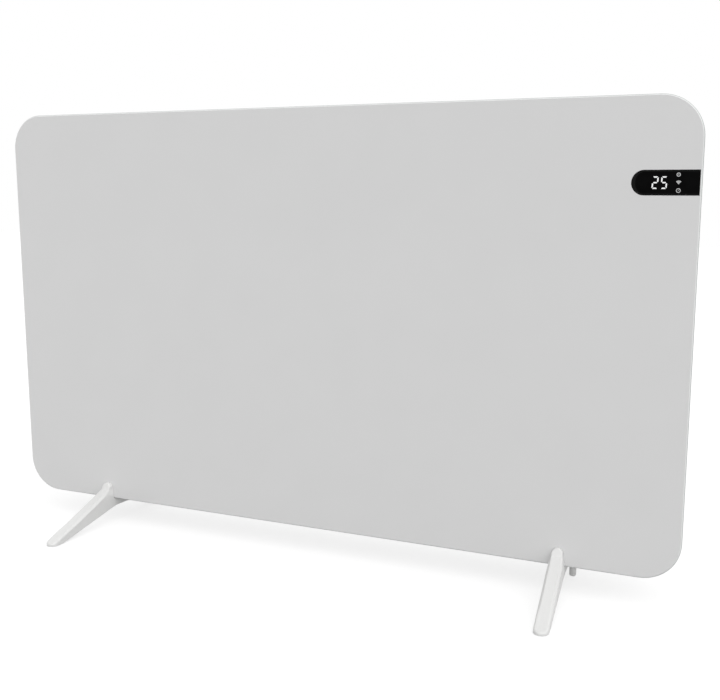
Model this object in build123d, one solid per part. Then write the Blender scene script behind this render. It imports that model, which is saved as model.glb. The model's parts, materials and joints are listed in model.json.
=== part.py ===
from build123d import *
from math import atan2, cos, degrees, radians, sin, tan
import os

# Wall panel convector heater: a white glass front on a slim steel body, free standing on two splayed feet.
# Millimetres, +Z up, +X to the right seen from the front, +Y to the back. The origin is on the floor, on the
# panel's middle line, midway between the front toes and the heels of the feet.

# Glass front
PANEL_WIDTH = 800.0
PANEL_HEIGHT = 466.0
PANEL_CORNER = 39.5
GLASS = 5.0
GLASS_BEVEL = 1.2
FLOOR_GAP = 30.0          # floor to the glass

# Display window, let into the face of the glass
WINDOW_HEIGHT = 23.6
WINDOW_LENGTH = 61.5
WINDOW_EDGE = 1.8         # glass left between the window and the panel's right edge
WINDOW_DROP = 80.25       # panel's top edge to the window's middle
WINDOW_DEPTH = 1.2
DIGITS_INSET = 35.8       # panel's right edge less the window's edge to the middle of the digits
ICONS_INSET = 19.2
ICON_PITCH = 7.2

# Body behind the glass
SIDE_INSET = 12.0
TOP_INSET = 12.0
BOTTOM_INSET = 14.0
BODY_DEPTH = 60.0
SHEET = 1.0
EDGE_BEND = 4.0
BOND = 2.0                # silicone between glass and tray
BOND_WIDTH = 14.0
TRAY_FLANGE = 12.0
SHEET_PLAY = 0.2          # tray flange to cover wall
PART_PLAY = 0.1           # a piece in its seat

# Outlet grille in the top wall
OUTLET_INSET = 78.0       # body's side to the outlet
OUTLET_DEPTH = 30.0
GRILLE_LIP = 3.0
GRILLE_LIP_THICKNESS = 1.5
GRILLE_HEIGHT = 9.0
BLADE = 1.4
BLADE_COUNT = 4
BLADE_LEAN = 28.0         # degrees off upright, throwing the warm air forwards
GRILLE_RIB = 2.0
GRILLE_RIBS = 13

# Intake slots in the bottom wall and low in the back
SLOT_WIDTH = 5.0
SLOT_LENGTH = 30.0
SLOT_PITCH = 15.0
INTAKE_INSET = 163.0      # body's side to the end slots' middle
BACK_SLOT_RISE = 34.0     # bottom of the body to the middle of the back row

# Heating element
ELEMENT_SIDE_GAP = 88.0    # body's left side to the fins
ELEMENT_BAY_GAP = 72.0     # fins to the bulkhead
ELEMENT_RISE = 96.0       # bottom of the body to the element's middle
FIN = 1.6
FIN_SPREAD_DEPTH = 16.5
FIN_SPREAD_HEIGHT = 34.0
FIN_LIP = 14.0
FIN_SLIT = 2.0
FIN_SLIT_PITCH = 38.0
CORE_RADIUS = 7.0
ROD_RADIUS = 4.0
ROD_PLAY = 0.05
ROD_OVERHANG = 32.0
BUSH_RADIUS = 8.0
BUSH_FLANGE = 3.0
BRACKET = 1.5
BRACKET_GAP = 14.0        # end of the fins to the bracket
BRACKET_HEIGHT = 34.0
BRACKET_FOOT = 14.0

# Heat shield between the element and the glass
SHIELD = 0.8
SHIELD_GAP = 8.0
SHIELD_TOP_GAP = 114.0    # shield to the top of the body
SHIELD_RISE = 26.0        # bottom of the body to the shield
SHIELD_FLANGE = 14.0

# Overheat protection, on the shield above the element
CUTOUT_RADIUS = 8.0
CUTOUT_HEIGHT = 9.0
CUTOUT_RISE = 70.0        # element's middle to the cut-out
FUSE_RADIUS = 2.5
FUSE_LENGTH = 16.0
FUSE_OFFSET = 60.0
FUSE_CLIP_WALL = 1.2

# Electronics bay at the right end
BAY_LENGTH = 136.0        # bulkhead to the body's right side
BULKHEAD_CLEARANCE = 12.0
GROMMET_BORE = 4.0
GROMMET_NECK = 7.0
GROMMET_FLANGE = 2.0
TRAY_BASE_WIDTH = 104.0
TRAY_BASE_HEIGHT = 172.0
TRAY_BASE_RISE = 112.0    # bottom of the body to the electronics tray
TRAY_WALL = 2.0
TRAY_RIM = 9.0
STANDOFF = 6.0
STANDOFF_RADIUS = 4.0
BOARD = 1.6
BOARD_MARGIN = 4.0
BOARD_SCREW_RADIUS = 1.45
BOARD_SCREW_HEAD_HEIGHT = 1.6
RELAY_SIZE = (19.0, 15.5, 15.5)
TRANSFORMER_SIZE = (30.0, 24.0, 26.0)
CAPACITOR_RADIUS = 6.0
CAPACITOR_HEIGHT = 18.0
CAPACITOR_PITCH = 15.0
WINDING_SHARE = (0.6, 0.8, 1.3)   # transformer's winding to its core
TERMINAL_SIZE = (36.0, 18.0, 16.0)
TERMINAL_WAYS = 3
TERMINAL_PITCH = 11.0
TERMINAL_SCREW_BORE = 2.5
TERMINAL_SCREW_DEPTH = 10.0
TERMINAL_ENTRY = (4.0, 4.0)
TERMINAL_ENTRY_RISE = 5.0 # tray to the middle of a wire's way in
EARTH_STUD_RADIUS = 2.0
EARTH_STUD_LENGTH = 8.0
EARTH_TAG_RADIUS = 4.5
EARTH_NUT_RADIUS = 4.0
EARTH_NUT_HEIGHT = 3.0
SENSOR_RADIUS = 2.5
SENSOR_LENGTH = 10.0
SENSOR_RISE = 8.0
SENSOR_POST = (8.0, 6.0, 14.0)

# Display unit behind the window
DISPLAY_FRAME = 3.0
DISPLAY_FRAME_WALL = 3.0
DISPLAY_PLAY = 0.3         # display frame to the tray's flange
DISPLAY_OPENING = (38.0, 28.0)
DIGIT_SIZE = (17.0, 14.4)
ICON_LED = 2.2
TOUCH_SPRING_RADIUS = 2.2
TOUCH_INSET = 5.4         # touch springs to the small signs' lamps
RADIO_SIZE = (16.0, 3.0, 20.0)
LED_PLAY = 0.3            # display parts to the back of the glass

# Feet
FOOT_INSET = 119.8        # panel's side to the middle of a foot, at the glass
FOOT_SPLAY = 4.0          # degrees, toes turned out
FOOT_WIDTH = 15.0
FOOT_EDGE = 2.6           # rounding of the front's long edges
TOE_REACH = 104.3         # along the foot, in front of the glass
HEEL_REACH = 125.0
SOLE_LENGTH = 15.0
TOE_HEIGHT = 2.8
LIP = 7.0                 # thickness of the lip in front of the glass, at its shoulder
LIP_TOP = 3.5
LIP_BACK = 2.0            # lip's back before the glass's slot is cut, behind the glass's face
LIP_SHOULDER = 12.0       # glass's lower edge to the shoulder
LIP_HEIGHT = 21.0
CROWN_GAP = 10.0          # glass's lower edge to the crown of the arch
CROWN_FRONT = 3.0         # the crown's two ends, behind the glass's face
CROWN_BACK = 26.0
CROWN_BEND = 50.0
BLOCK_BACK_FALL = 8.0
BODY_OVERHANG = 5.0       # body's back wall behind the foot's seat
FOOT_PLAY = 0.3           # glass in the foot's slot
PAD = 2.0
PAD_STAND = 0.5
PAD_WIDTH = 8.0
PAD_LENGTH = 10.0
FOOT_PLATE = 3.0
FOOT_PLATE_WIDTH = 16.0
FOOT_PLATE_LENGTH = 22.0
FOOT_PLATE_MARGIN = 6.0   # end of the plate to its screw
FOOT_PLATE_PLAY = 2.0     # tray flange to the plate
FOOT_SCREW_RADIUS = 2.0
FOOT_SCREW_HEAD = 3.8
FOOT_SCREW_HEAD_HEIGHT = 2.8
FOOT_SCREW_PLAY = 0.25
FOOT_SCREW_GRIP = 8.0     # plastic between the screw's head and the body

# Tip-over switch beside the right foot
TIP_BESIDE_FOOT = 6.0     # foot's middle at the glass to the plunger
TIP_DEPTH = 53.6          # glass's face to the plunger
PLUNGER_RADIUS = 3.7
PLUNGER_TIP = 1.9         # rounding of its lower end
PLUNGER_PLAY = 0.08
TIP_TRAVEL = 5.0
GUIDE_SNOUT = 16.0
GUIDE_FLANGE = 2.0
GUIDE_WALL = 1.6
CHAMBER_HEIGHT = 34.0
COLLAR_RADIUS = 5.4
COLLAR_HEIGHT = 2.0
STEM_RADIUS = 2.0
STEM_SPARE = 1.5          # stem left above the guide's cap when the plunger is out
SPRING_WIRE = 0.4
SPRING_TURNS = 5
SWITCH_SIZE = (20.0, 6.4, 10.0)
SWITCH_POST = 2.0
LEVER = 0.7
LEVER_WIDTH = 4.0
LEVER_ARM = 20.0
LEVER_GAP = 0.3
LEVER_KNUCKLE = 1.3
LEVER_PIN = 0.5
LEVER_PIN_PLAY = 0.06

# Mains switch in the right side wall
ROCKER_RISE = 80.0        # bottom of the body to the switch
ROCKER_TILT = 8.0
ROCKER_SWING = 8.3
ROCKER_WIDTH = 10.0
ROCKER_STAND = 2.0        # rocker's waist above its pivot
ROCKER_PLAY = 0.3
ROCKER_PIVOT_DEPTH = 1.0
ROCKER_PIN = 1.0
ROCKER_PIN_LENGTH = 0.9
ROCKER_PIN_PLAY = 0.06
BEZEL = 1.5
BEZEL_LIP = 2.0
HOUSING_WALL = 1.2
HOUSING_DEPTH = 17.0
SPADE = (8.0, 0.8, 5.0)

# Cord entry, low in the back wall
GLAND_INSET = 48.0        # body's right side to the gland
GLAND_RISE = 32.0
CORD_BORE = 3.6
GLAND_THREAD = 7.9
GLAND_HEX = 10.5
GLAND_HEX_HEIGHT = 5.0
GLAND_DOME = 8.0
GLAND_INSIDE = 10.0
GLAND_DOME_EDGE = 2.5

# Keyholes in the back wall
KEYHOLE_SPACING_X = 480.0
KEYHOLE_SPACING_Z = 200.0
KEYHOLE_HEAD = 5.5
KEYHOLE_NECK = 2.75
KEYHOLE_RISE = 14.0

# Screws that hold the cover to the tray
COVER_SCREW_RADIUS = 1.9
COVER_SCREW_LENGTH = 7.0
COVER_SCREW_HEAD = 3.5
COVER_SCREW_HEAD_HEIGHT = 2.2
COVER_SCREW_PLAY = 0.2
THREAD_PLAY = 0.03
COVER_SCREW_SETBACK = 6.0
COVER_SCREW_SIDE_SPACING = 240.0
COVER_SCREW_INSET = 38.8  # body's side to the end screws of the top and bottom
SCREW_SIDES = 12          # flats that a screw's round outlines are drawn with

WIRE_RADIUS = 1.3
WIRE_BEND = 8.0
RIBBON = 1.0
RIBBON_WIDTH = 12.0

# Places worked out from the sizes above
foot_round = FOOT_WIDTH / 2
toe_depth = (TOE_REACH - foot_round) * cos(radians(FOOT_SPLAY)) + foot_round
heel_depth = (HEEL_REACH - foot_round) * cos(radians(FOOT_SPLAY)) + foot_round
glass_face = (toe_depth - heel_depth) / 2
glass_back = glass_face + GLASS
tray_face = glass_back + BOND
tray_back = tray_face + SHEET
body_back = tray_face + BODY_DEPTH
inner_back = body_back - SHEET
glass_bottom = FLOOR_GAP
glass_top = FLOOR_GAP + PANEL_HEIGHT
glass_middle = (glass_bottom + glass_top) / 2
body_bottom = glass_bottom + BOTTOM_INSET
body_top = glass_top - TOP_INSET
body_middle = (body_bottom + body_top) / 2
body_width = PANEL_WIDTH - 2 * SIDE_INSET
body_height = body_top - body_bottom
body_side = body_width / 2
body_corner = PANEL_CORNER - SIDE_INSET
outlet_length = body_width - 2 * OUTLET_INSET
intake_span = body_width - 2 * INTAKE_INSET
window_z = glass_top - WINDOW_DROP
window_right = PANEL_WIDTH / 2 - WINDOW_EDGE
digits_x = window_right - DIGITS_INSET
icons_x = window_right - ICONS_INSET
shield_face = tray_back + SHIELD_GAP
shield_back = shield_face + SHIELD
shield_height = body_height - SHIELD_RISE - SHIELD_TOP_GAP
bulkhead_place = body_side - BAY_LENGTH
element_length = 2 * body_side - ELEMENT_SIDE_GAP - ELEMENT_BAY_GAP - BAY_LENGTH
element_centre = bulkhead_place - ELEMENT_BAY_GAP - element_length / 2
element_y = (shield_back + inner_back) / 2
element_z = body_bottom + ELEMENT_RISE
foot_place = PANEL_WIDTH / 2 - FOOT_INSET
foot_seat_back = body_back - glass_face - BODY_OVERHANG
foot_plate_front = tray_face + TRAY_FLANGE + FOOT_PLATE_PLAY - glass_face
foot_plate_back = foot_plate_front + FOOT_PLATE_LENGTH
tip_place = foot_place + TIP_BESIDE_FOOT
tip_y = glass_face + TIP_DEPTH
gland_place = body_side - GLAND_INSET


def back_slab(outline, front, depth):
    """An outline drawn as seen from the front, X across and Z up, pushed back from front by depth."""
    plane = Plane(origin=(0, front + depth, 0), x_dir=(1, 0, 0), z_dir=(0, -1, 0))
    return extrude(plane * outline, amount=depth)


def block(x, y, z):
    """A box between the two values given for each of x, y and z."""
    size = [high - low for low, high in (x, y, z)]
    centre = [(high + low) / 2 for low, high in (x, y, z)]
    return Pos(*centre) * Box(*size)


def pillar(x, y, z, radius):
    """An upright cylinder between the two values of z."""
    return Pos(x, y, (z[0] + z[1]) / 2) * Cylinder(radius, z[1] - z[0])


def barrel(x, y, z, radius):
    """A cylinder that runs front to back between the two values of y."""
    return Pos(x, (y[0] + y[1]) / 2, z) * Rot(90, 0, 0) * Cylinder(radius, y[1] - y[0])


def bar(x, y, z, radius):
    """A cylinder that runs along X between the two values of x."""
    return Pos((x[0] + x[1]) / 2, y, z) * Rot(0, 90, 0) * Cylinder(radius, x[1] - x[0])


def spaced(count, pitch):
    """Places of count things at a pitch, centred on 0."""
    return [(i - (count - 1) / 2) * pitch for i in range(count)]


def save(name, shape):
    export_step(shape, f"parts/{name}.step")


def rounded_panel(shrink=0.0):
    """The body's outline, shrunk all round."""
    radius = body_corner - shrink
    return Pos(0, body_middle) * RectangleRounded(body_width - 2 * shrink, body_height - 2 * shrink, radius)


# ---------------------------------------------------------------- glass and display window
def window_outline(play=0.0):
    """Dark window: a half round left end and a square right end."""
    left = window_right - WINDOW_LENGTH
    half = WINDOW_HEIGHT / 2
    straight = Pos((left + half + window_right - play) / 2, window_z) * Rectangle(
        window_right - play - left - half, WINDOW_HEIGHT - 2 * play)
    return straight + Pos(left + half, window_z) * Circle(half - play)


def glass_panel():
    outline = Pos(0, glass_middle) * RectangleRounded(PANEL_WIDTH, PANEL_HEIGHT, PANEL_CORNER)
    glass = back_slab(outline, glass_face, GLASS)
    rims = glass.faces().filter_by(Axis.Y).edges()
    glass = chamfer(rims, GLASS_BEVEL)
    return glass - back_slab(window_outline(), glass_face, WINDOW_DEPTH)


def display_window():
    return back_slab(window_outline(PART_PLAY), glass_face, WINDOW_DEPTH)


def bond_strips():
    """Silicone beads between the glass and the tray, along the four sides except beside the display unit."""
    inset = body_corner
    across = (body_width - 2 * inset - BOND_WIDTH) / 2
    up = (body_height - 2 * inset - 2 * BOND_WIDTH) / 2
    depth = (glass_back, tray_face)
    strips = []
    for low in (body_bottom + BOND_WIDTH, body_top - 2 * BOND_WIDTH):
        for side in (-1, 1):
            ends = sorted((side * BOND_WIDTH / 2, side * across))
            strips.append(block(ends, depth, (low, low + BOND_WIDTH)))
    lower = (body_middle - up, body_middle - BOND_WIDTH)
    upper = (body_middle + BOND_WIDTH, body_middle + up)
    for side, heights in ((-1, lower), (-1, upper), (1, lower)):
        ends = sorted((side * (body_side - inset), side * (body_side - inset - BOND_WIDTH)))
        strips.append(block(ends, depth, heights))
    return Compound(strips)


# ---------------------------------------------------------------- sheet steel body
def display_centre_x():
    flange = body_side - 2 * SHEET - SHEET_PLAY
    return flange - DISPLAY_PLAY - DISPLAY_FRAME_WALL - DISPLAY_OPENING[0] / 2


def display_opening(front, depth):
    opening = Pos(display_centre_x(), window_z) * Rectangle(*DISPLAY_OPENING)
    return back_slab(opening, front, depth)


def cover_screw_places():
    """Each screw's place on the body's edge and the way it points, inwards."""
    y = tray_face + COVER_SCREW_SETBACK
    places = []
    for x in spaced(3, body_width / 2 - COVER_SCREW_INSET):
        places.append(((x, y, body_top), (0, 0, -1)))
        places.append(((x, y, body_bottom), (0, 0, 1)))
    for z in (body_middle - COVER_SCREW_SIDE_SPACING / 2, body_middle + COVER_SCREW_SIDE_SPACING / 2):
        places.append(((body_side, y, z), (-1, 0, 0)))
        places.append(((-body_side, y, z), (1, 0, 0)))
    return places


def along(place, way, start, end, radius):
    """A cylinder on a screw's line, from start to end inwards of its place."""
    plane = Plane(origin=Vector(*place) + Vector(*way) * start, z_dir=way)
    return extrude(plane * Circle(radius), amount=end - start)


def front_tray():
    """Tray that carries the glass, with its rim turned back inside the cover."""
    gap = SHEET + SHEET_PLAY
    tray = back_slab(rounded_panel(gap), tray_face, TRAY_FLANGE)
    tray -= back_slab(rounded_panel(gap + SHEET), tray_back, TRAY_FLANGE)
    tray -= display_opening(tray_face, SHEET)
    for place, way in cover_screw_places():
        tray -= along(place, way, 0, COVER_SCREW_LENGTH, COVER_SCREW_RADIUS + THREAD_PLAY)
    return tray


def intake_places():
    count = int(intake_span / SLOT_PITCH) + 1
    return spaced(count, SLOT_PITCH)


def intake_cutters():
    """Slots through the bottom wall, and a row low in the back wall."""
    middle = (tray_face + TRAY_FLANGE + body_back - EDGE_BEND) / 2
    row = Sketch() + [Pos(x, middle) * Rectangle(SLOT_WIDTH, SLOT_LENGTH) for x in intake_places()]
    cutters = extrude(Plane(origin=(0, 0, body_bottom - 1)) * row, amount=SHEET + 2)
    low = Sketch() + [Pos(x, body_bottom + BACK_SLOT_RISE) * Rectangle(SLOT_WIDTH, SLOT_LENGTH)
                      for x in intake_places()]
    return cutters + back_slab(low, inner_back - 1, SHEET + 2)


def outlet_opening(play=0.0):
    """The outlet's opening in the top wall, seen from above."""
    middle = (tray_face + TRAY_FLANGE + body_back - EDGE_BEND) / 2
    return Pos(0, middle) * Rectangle(outlet_length - 2 * play, OUTLET_DEPTH - 2 * play)


def keyhole_cutters():
    keyhole = Circle(KEYHOLE_HEAD) + Pos(0, KEYHOLE_RISE / 2) * Rectangle(2 * KEYHOLE_NECK, KEYHOLE_RISE)
    keyhole += Pos(0, KEYHOLE_RISE) * Circle(KEYHOLE_NECK)
    holes = Sketch() + [Pos(x, body_middle + z) * keyhole
                        for x in (-KEYHOLE_SPACING_X / 2, KEYHOLE_SPACING_X / 2)
                        for z in (-KEYHOLE_SPACING_Z / 2, KEYHOLE_SPACING_Z / 2)]
    return back_slab(holes, inner_back - 1, SHEET + 2)


def rear_cover():
    """Folded cover: back wall and four sides, with the intake, outlet, keyholes, switch and cord entry."""
    shell = back_slab(rounded_panel(), tray_face, BODY_DEPTH)
    back_rim = shell.faces().sort_by(Axis.Y)[-1].edges()
    shell = fillet(back_rim, EDGE_BEND)
    hollow = back_slab(rounded_panel(SHEET), tray_face, BODY_DEPTH - SHEET)
    hollow_rim = hollow.faces().sort_by(Axis.Y)[-1].edges()
    hollow = fillet(hollow_rim, EDGE_BEND - SHEET)
    cover = shell - hollow
    cover -= intake_cutters()
    cover -= extrude(Plane(origin=(0, 0, body_top - SHEET - 1)) * outlet_opening(), amount=SHEET + 2)
    cover -= keyhole_cutters()
    cover -= barrel(gland_place, (inner_back - 1, body_back + 1), body_bottom + GLAND_RISE,
                    GLAND_THREAD + PART_PLAY)
    cover -= pillar(tip_place, tip_y, (body_bottom - 1, body_bottom + SHEET + 1), snout_radius() + PART_PLAY)
    cover -= rocker_cutter()
    for side in (-1, 1):
        for x, y in foot_screw_places(side):
            cover -= pillar(x, y, (body_bottom - 1, body_bottom + SHEET + 1), FOOT_SCREW_RADIUS + FOOT_SCREW_PLAY)
    for place, way in cover_screw_places():
        hole = COVER_SCREW_RADIUS + COVER_SCREW_PLAY
        cover -= along(place, way, -1, SHEET + SHEET_PLAY / 2, hole)
    return cover


def screw(place, way, head, shank):
    """A screw whose head seats at its place and whose shank points along way; each is (radius, length)."""
    seat = Plane(origin=place, z_dir=way)
    shape = extrude(seat * RegularPolygon(head[0], SCREW_SIDES), amount=-head[1])
    return shape + extrude(seat * RegularPolygon(shank[0], SCREW_SIDES), amount=shank[1])


def cover_screws():
    head = (COVER_SCREW_HEAD, COVER_SCREW_HEAD_HEIGHT)
    shank = (COVER_SCREW_RADIUS, COVER_SCREW_LENGTH)
    return Compound([screw(place, way, head, shank) for place, way in cover_screw_places()])


def outlet_grille():
    """Moulded grille: a lip on the top wall, a frame in the opening, leaning blades and cross ribs."""
    low = body_top - SHEET - GRILLE_HEIGHT
    top = body_top + GRILLE_LIP_THICKNESS
    outer = outlet_opening(PART_PLAY)
    inner = offset(outer, -GRILLE_RIB)
    frame = extrude(Plane(origin=(0, 0, low)) * (outer - inner), amount=top - low)
    lip = offset(outer, GRILLE_LIP, kind=Kind.INTERSECTION) - inner
    frame += extrude(Plane(origin=(0, 0, body_top)) * lip, amount=GRILLE_LIP_THICKNESS)
    inside = extrude(Plane(origin=(0, 0, low)) * inner, amount=GRILLE_HEIGHT + SHEET)
    inner_box = inner.bounding_box()
    middle = inner_box.center().Y
    pitch = inner_box.size.Y / (BLADE_COUNT + 1)
    height = (GRILLE_HEIGHT + SHEET) / cos(radians(BLADE_LEAN))
    blades = Sketch() + [Pos(middle + y, (low + body_top) / 2) * Rot(0, 0, BLADE_LEAN) * Rectangle(BLADE, height)
                         for y in spaced(BLADE_COUNT, pitch)]
    slats = extrude(Plane.YZ * blades, amount=outlet_length / 2, both=True)
    rib_depth = (GRILLE_HEIGHT + SHEET) / 2
    ribs = Sketch() + [Pos(x, middle) * Rectangle(GRILLE_RIB, inner_box.size.Y)
                       for x in spaced(GRILLE_RIBS, outlet_length / (GRILLE_RIBS + 1))]
    ribs = extrude(Plane(origin=(0, 0, low)) * ribs, amount=rib_depth)
    return frame + ((slats + ribs) & inside)


# ---------------------------------------------------------------- heating element and shield
def heat_shield():
    """Hat shaped sheet, standing off the tray on its two flanges."""
    low = body_bottom + SHIELD_RISE
    high = low + shield_height
    outside = [(tray_back, low - SHIELD_FLANGE), (tray_back + SHIELD, low - SHIELD_FLANGE),
               (tray_back + SHIELD, low), (shield_back, low), (shield_back, high),
               (tray_back + SHIELD, high), (tray_back + SHIELD, high + SHIELD_FLANGE),
               (tray_back, high + SHIELD_FLANGE), (tray_back, high - SHIELD), (shield_face, high - SHIELD),
               (shield_face, low + SHIELD), (tray_back, low + SHIELD)]
    hat = extrude(make_face(Plane.YZ * Polyline(*outside, close=True)), amount=element_length / 2, both=True)
    return Pos(element_centre, 0, 0) * hat


def fin_section():
    """X shaped extrusion: a round core, four wings and their turned lips."""
    section = Circle(CORE_RADIUS)
    length = (FIN_SPREAD_DEPTH ** 2 + FIN_SPREAD_HEIGHT ** 2) ** 0.5
    for depth in (-1, 1):
        for height in (-1, 1):
            lean = degrees(atan2(height * FIN_SPREAD_HEIGHT, depth * FIN_SPREAD_DEPTH))
            section += Rot(0, 0, lean) * Pos(length / 2, 0) * Rectangle(length, FIN)
            lip_middle = height * (FIN_SPREAD_HEIGHT + FIN_LIP / 2)
            section += Pos(depth * FIN_SPREAD_DEPTH, lip_middle) * Rectangle(FIN, FIN_LIP + FIN)
    return section - Circle(ROD_RADIUS + ROD_PLAY)


def element_fins():
    fins = extrude(Plane.YZ * fin_section(), amount=element_length / 2, both=True)
    reach = FIN_SPREAD_HEIGHT + FIN_LIP + FIN
    depth = FIN_SPREAD_DEPTH + FIN
    slits = []
    count = int((element_length - FIN_SLIT_PITCH) / FIN_SLIT_PITCH)
    for x in spaced(count, FIN_SLIT_PITCH):
        for ends in ((-reach, -2 * CORE_RADIUS), (2 * CORE_RADIUS, reach)):
            slits.append(block((x - FIN_SLIT / 2, x + FIN_SLIT / 2), (-depth, depth), ends))
    return Pos(element_centre, element_y, element_z) * (fins - slits)


def element_ends():
    """X of the bracket's inner face at each end, with the way outwards."""
    half = element_length / 2 + BRACKET_GAP
    return [(element_centre - half, -1), (element_centre + half, 1)]


def element_rod():
    half = element_length / 2 + ROD_OVERHANG
    return bar((element_centre - half, element_centre + half), element_y, element_z, ROD_RADIUS)


def element_brackets():
    """Sheet brackets with a foot on the tray and a hole for the bush."""
    brackets = []
    for x, way in element_ends():
        upright = block(sorted((x, x + way * BRACKET)), (tray_back, element_y + BUSH_RADIUS + BRACKET_FOOT / 2),
                        (element_z - BRACKET_HEIGHT / 2, element_z + BRACKET_HEIGHT / 2))
        upright -= bar(sorted((x - way, x + way * (BRACKET + 1))), element_y, element_z, BUSH_RADIUS + PART_PLAY)
        foot = block(sorted((x, x + way * BRACKET_FOOT)), (tray_back, tray_back + BRACKET),
                     (element_z - BRACKET_HEIGHT / 2, element_z + BRACKET_HEIGHT / 2))
        brackets.append(upright + foot)
    return Compound(brackets)


def element_insulators():
    """Ceramic bushes in the brackets."""
    bushes = []
    for x, way in element_ends():
        neck = bar(sorted((x, x + way * 3 * BRACKET)), element_y, element_z, BUSH_RADIUS)
        flange = bar(sorted((x - way * BUSH_FLANGE, x)), element_y, element_z, BUSH_RADIUS + BUSH_FLANGE)
        hole = bar(sorted((x - way * (BUSH_FLANGE + 1), x + way * (3 * BRACKET + 1))), element_y, element_z,
                   ROD_RADIUS + ROD_PLAY)
        bushes.append(neck + flange - hole)
    return Compound(bushes)


def rod_end(way):
    return element_centre + way * (element_length / 2 + ROD_OVERHANG)


def element_terminals():
    """Sealed heads on the rod's ends, each with a flat tab."""
    heads = []
    for way in (-1, 1):
        x = rod_end(way)
        head = bar(sorted((x, x + way * SPADE[0] / 2)), element_y, element_z, ROD_RADIUS)
        tab = block(sorted((x + way * SPADE[0] / 2, x + way * SPADE[0] * 1.5)),
                    (element_y - SPADE[1] / 2, element_y + SPADE[1] / 2),
                    (element_z - SPADE[2] / 2, element_z + SPADE[2] / 2))
        heads.append(head + tab)
    return Compound(heads)


def thermal_cutout():
    """Disc thermostat with its flange flat on the shield and two tabs behind."""
    z = element_z + CUTOUT_RISE
    flange = block((element_centre - 1.6 * CUTOUT_RADIUS, element_centre + 1.6 * CUTOUT_RADIUS),
                   (shield_back, shield_back + SHIELD), (z - CUTOUT_RADIUS / 2, z + CUTOUT_RADIUS / 2))
    body = flange + barrel(element_centre, (shield_back, shield_back + CUTOUT_HEIGHT), z, CUTOUT_RADIUS)
    for side in (-1, 1):
        x = element_centre + side * CUTOUT_RADIUS / 2
        body += block((x - SPADE[1] / 2, x + SPADE[1] / 2),
                      (shield_back + CUTOUT_HEIGHT, shield_back + CUTOUT_HEIGHT + SPADE[0]),
                      (z - SPADE[2] / 2, z + SPADE[2] / 2))
    return body


def fuse_place():
    return element_centre + FUSE_OFFSET, shield_back + FUSE_RADIUS + SHIELD, element_z + CUTOUT_RISE


def thermal_fuse():
    x, y, z = fuse_place()
    return bar((x - FUSE_LENGTH / 2, x + FUSE_LENGTH / 2), y, z, FUSE_RADIUS)


def fuse_clip():
    """Saddle that holds the fuse against the shield."""
    x, y, z = fuse_place()
    half = FUSE_LENGTH / 4
    wall = FUSE_RADIUS + FUSE_CLIP_WALL
    saddle = bar((x - half, x + half), y, z, wall)
    saddle += block((x - half, x + half), (shield_back, y), (z - wall, z + wall))
    saddle += block((x - half, x + half), (shield_back, shield_back + SHIELD), (z - 2 * wall, z + 2 * wall))
    saddle &= block((x - half, x + half), (shield_back, y + wall), (z - 2 * wall, z + 2 * wall))
    return saddle - bar((x - FUSE_LENGTH, x + FUSE_LENGTH), y, z, FUSE_RADIUS + ROD_PLAY)


# ---------------------------------------------------------------- electronics bay
def bulkhead():
    """Sheet wall between the hot side and the electronics, with a foot on the tray."""
    low = body_bottom + BULKHEAD_CLEARANCE
    high = body_top - 2 * TRAY_FLANGE
    x = bulkhead_place
    wall = block((x, x + SHEET), (tray_back, inner_back - 1), (low, high))
    wall += block((x, x + TRAY_FLANGE), (tray_back, tray_back + SHEET), (low, high))
    return wall - bar((x - 1, x + SHEET + 1), element_y, element_z, GROMMET_NECK + PART_PLAY)


def bulkhead_grommet():
    x = bulkhead_place
    neck = bar((x - GROMMET_FLANGE, x + SHEET + GROMMET_FLANGE), element_y, element_z, GROMMET_NECK)
    rims = bar((x - GROMMET_FLANGE, x), element_y, element_z, GROMMET_NECK + GROMMET_FLANGE)
    rims += bar((x + SHEET, x + SHEET + GROMMET_FLANGE), element_y, element_z, GROMMET_NECK + GROMMET_FLANGE)
    bore = bar((x - GROMMET_FLANGE - 1, x + SHEET + GROMMET_FLANGE + 1), element_y, element_z, GROMMET_BORE)
    return neck + rims - bore


def board_area():
    """Centre of the electronics tray and of its board."""
    x = (bulkhead_place + TRAY_FLANGE + body_side - SHEET - SHEET_PLAY - SHEET) / 2
    return x, body_bottom + TRAY_BASE_RISE + TRAY_BASE_HEIGHT / 2


def board_face():
    return tray_back + TRAY_WALL + STANDOFF


def board_size():
    return TRAY_BASE_WIDTH - 2 * BOARD_MARGIN, TRAY_BASE_HEIGHT - 2 * BOARD_MARGIN


def standoff_places():
    x, z = board_area()
    width, height = board_size()
    inset = STANDOFF_RADIUS + 1
    return [(x + side * (width / 2 - inset), z + end * (height / 2 - inset))
            for side in (-1, 1) for end in (-1, 1)]


def board_tray():
    x, z = board_area()
    floor = Pos(x, z) * RectangleRounded(TRAY_BASE_WIDTH, TRAY_BASE_HEIGHT, 2 * TRAY_WALL)
    tray = back_slab(floor, tray_back, TRAY_RIM)
    tray -= back_slab(offset(floor, -TRAY_WALL), tray_back + TRAY_WALL, TRAY_RIM)
    for px, pz in standoff_places():
        tray += barrel(px, (tray_back + TRAY_WALL / 2, board_face()), pz, STANDOFF_RADIUS)
    for px, pz in standoff_places():
        tray -= barrel(px, (tray_back + TRAY_WALL, board_face() + 1), pz, BOARD_SCREW_RADIUS + THREAD_PLAY)
    return tray


def power_board():
    x, z = board_area()
    width, height = board_size()
    board = back_slab(Pos(x, z) * Rectangle(width, height), board_face(), BOARD)
    for px, pz in standoff_places():
        board -= barrel(px, (board_face() - 1, board_face() + BOARD + 1), pz, BOARD_SCREW_RADIUS + PART_PLAY)
    return board


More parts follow.
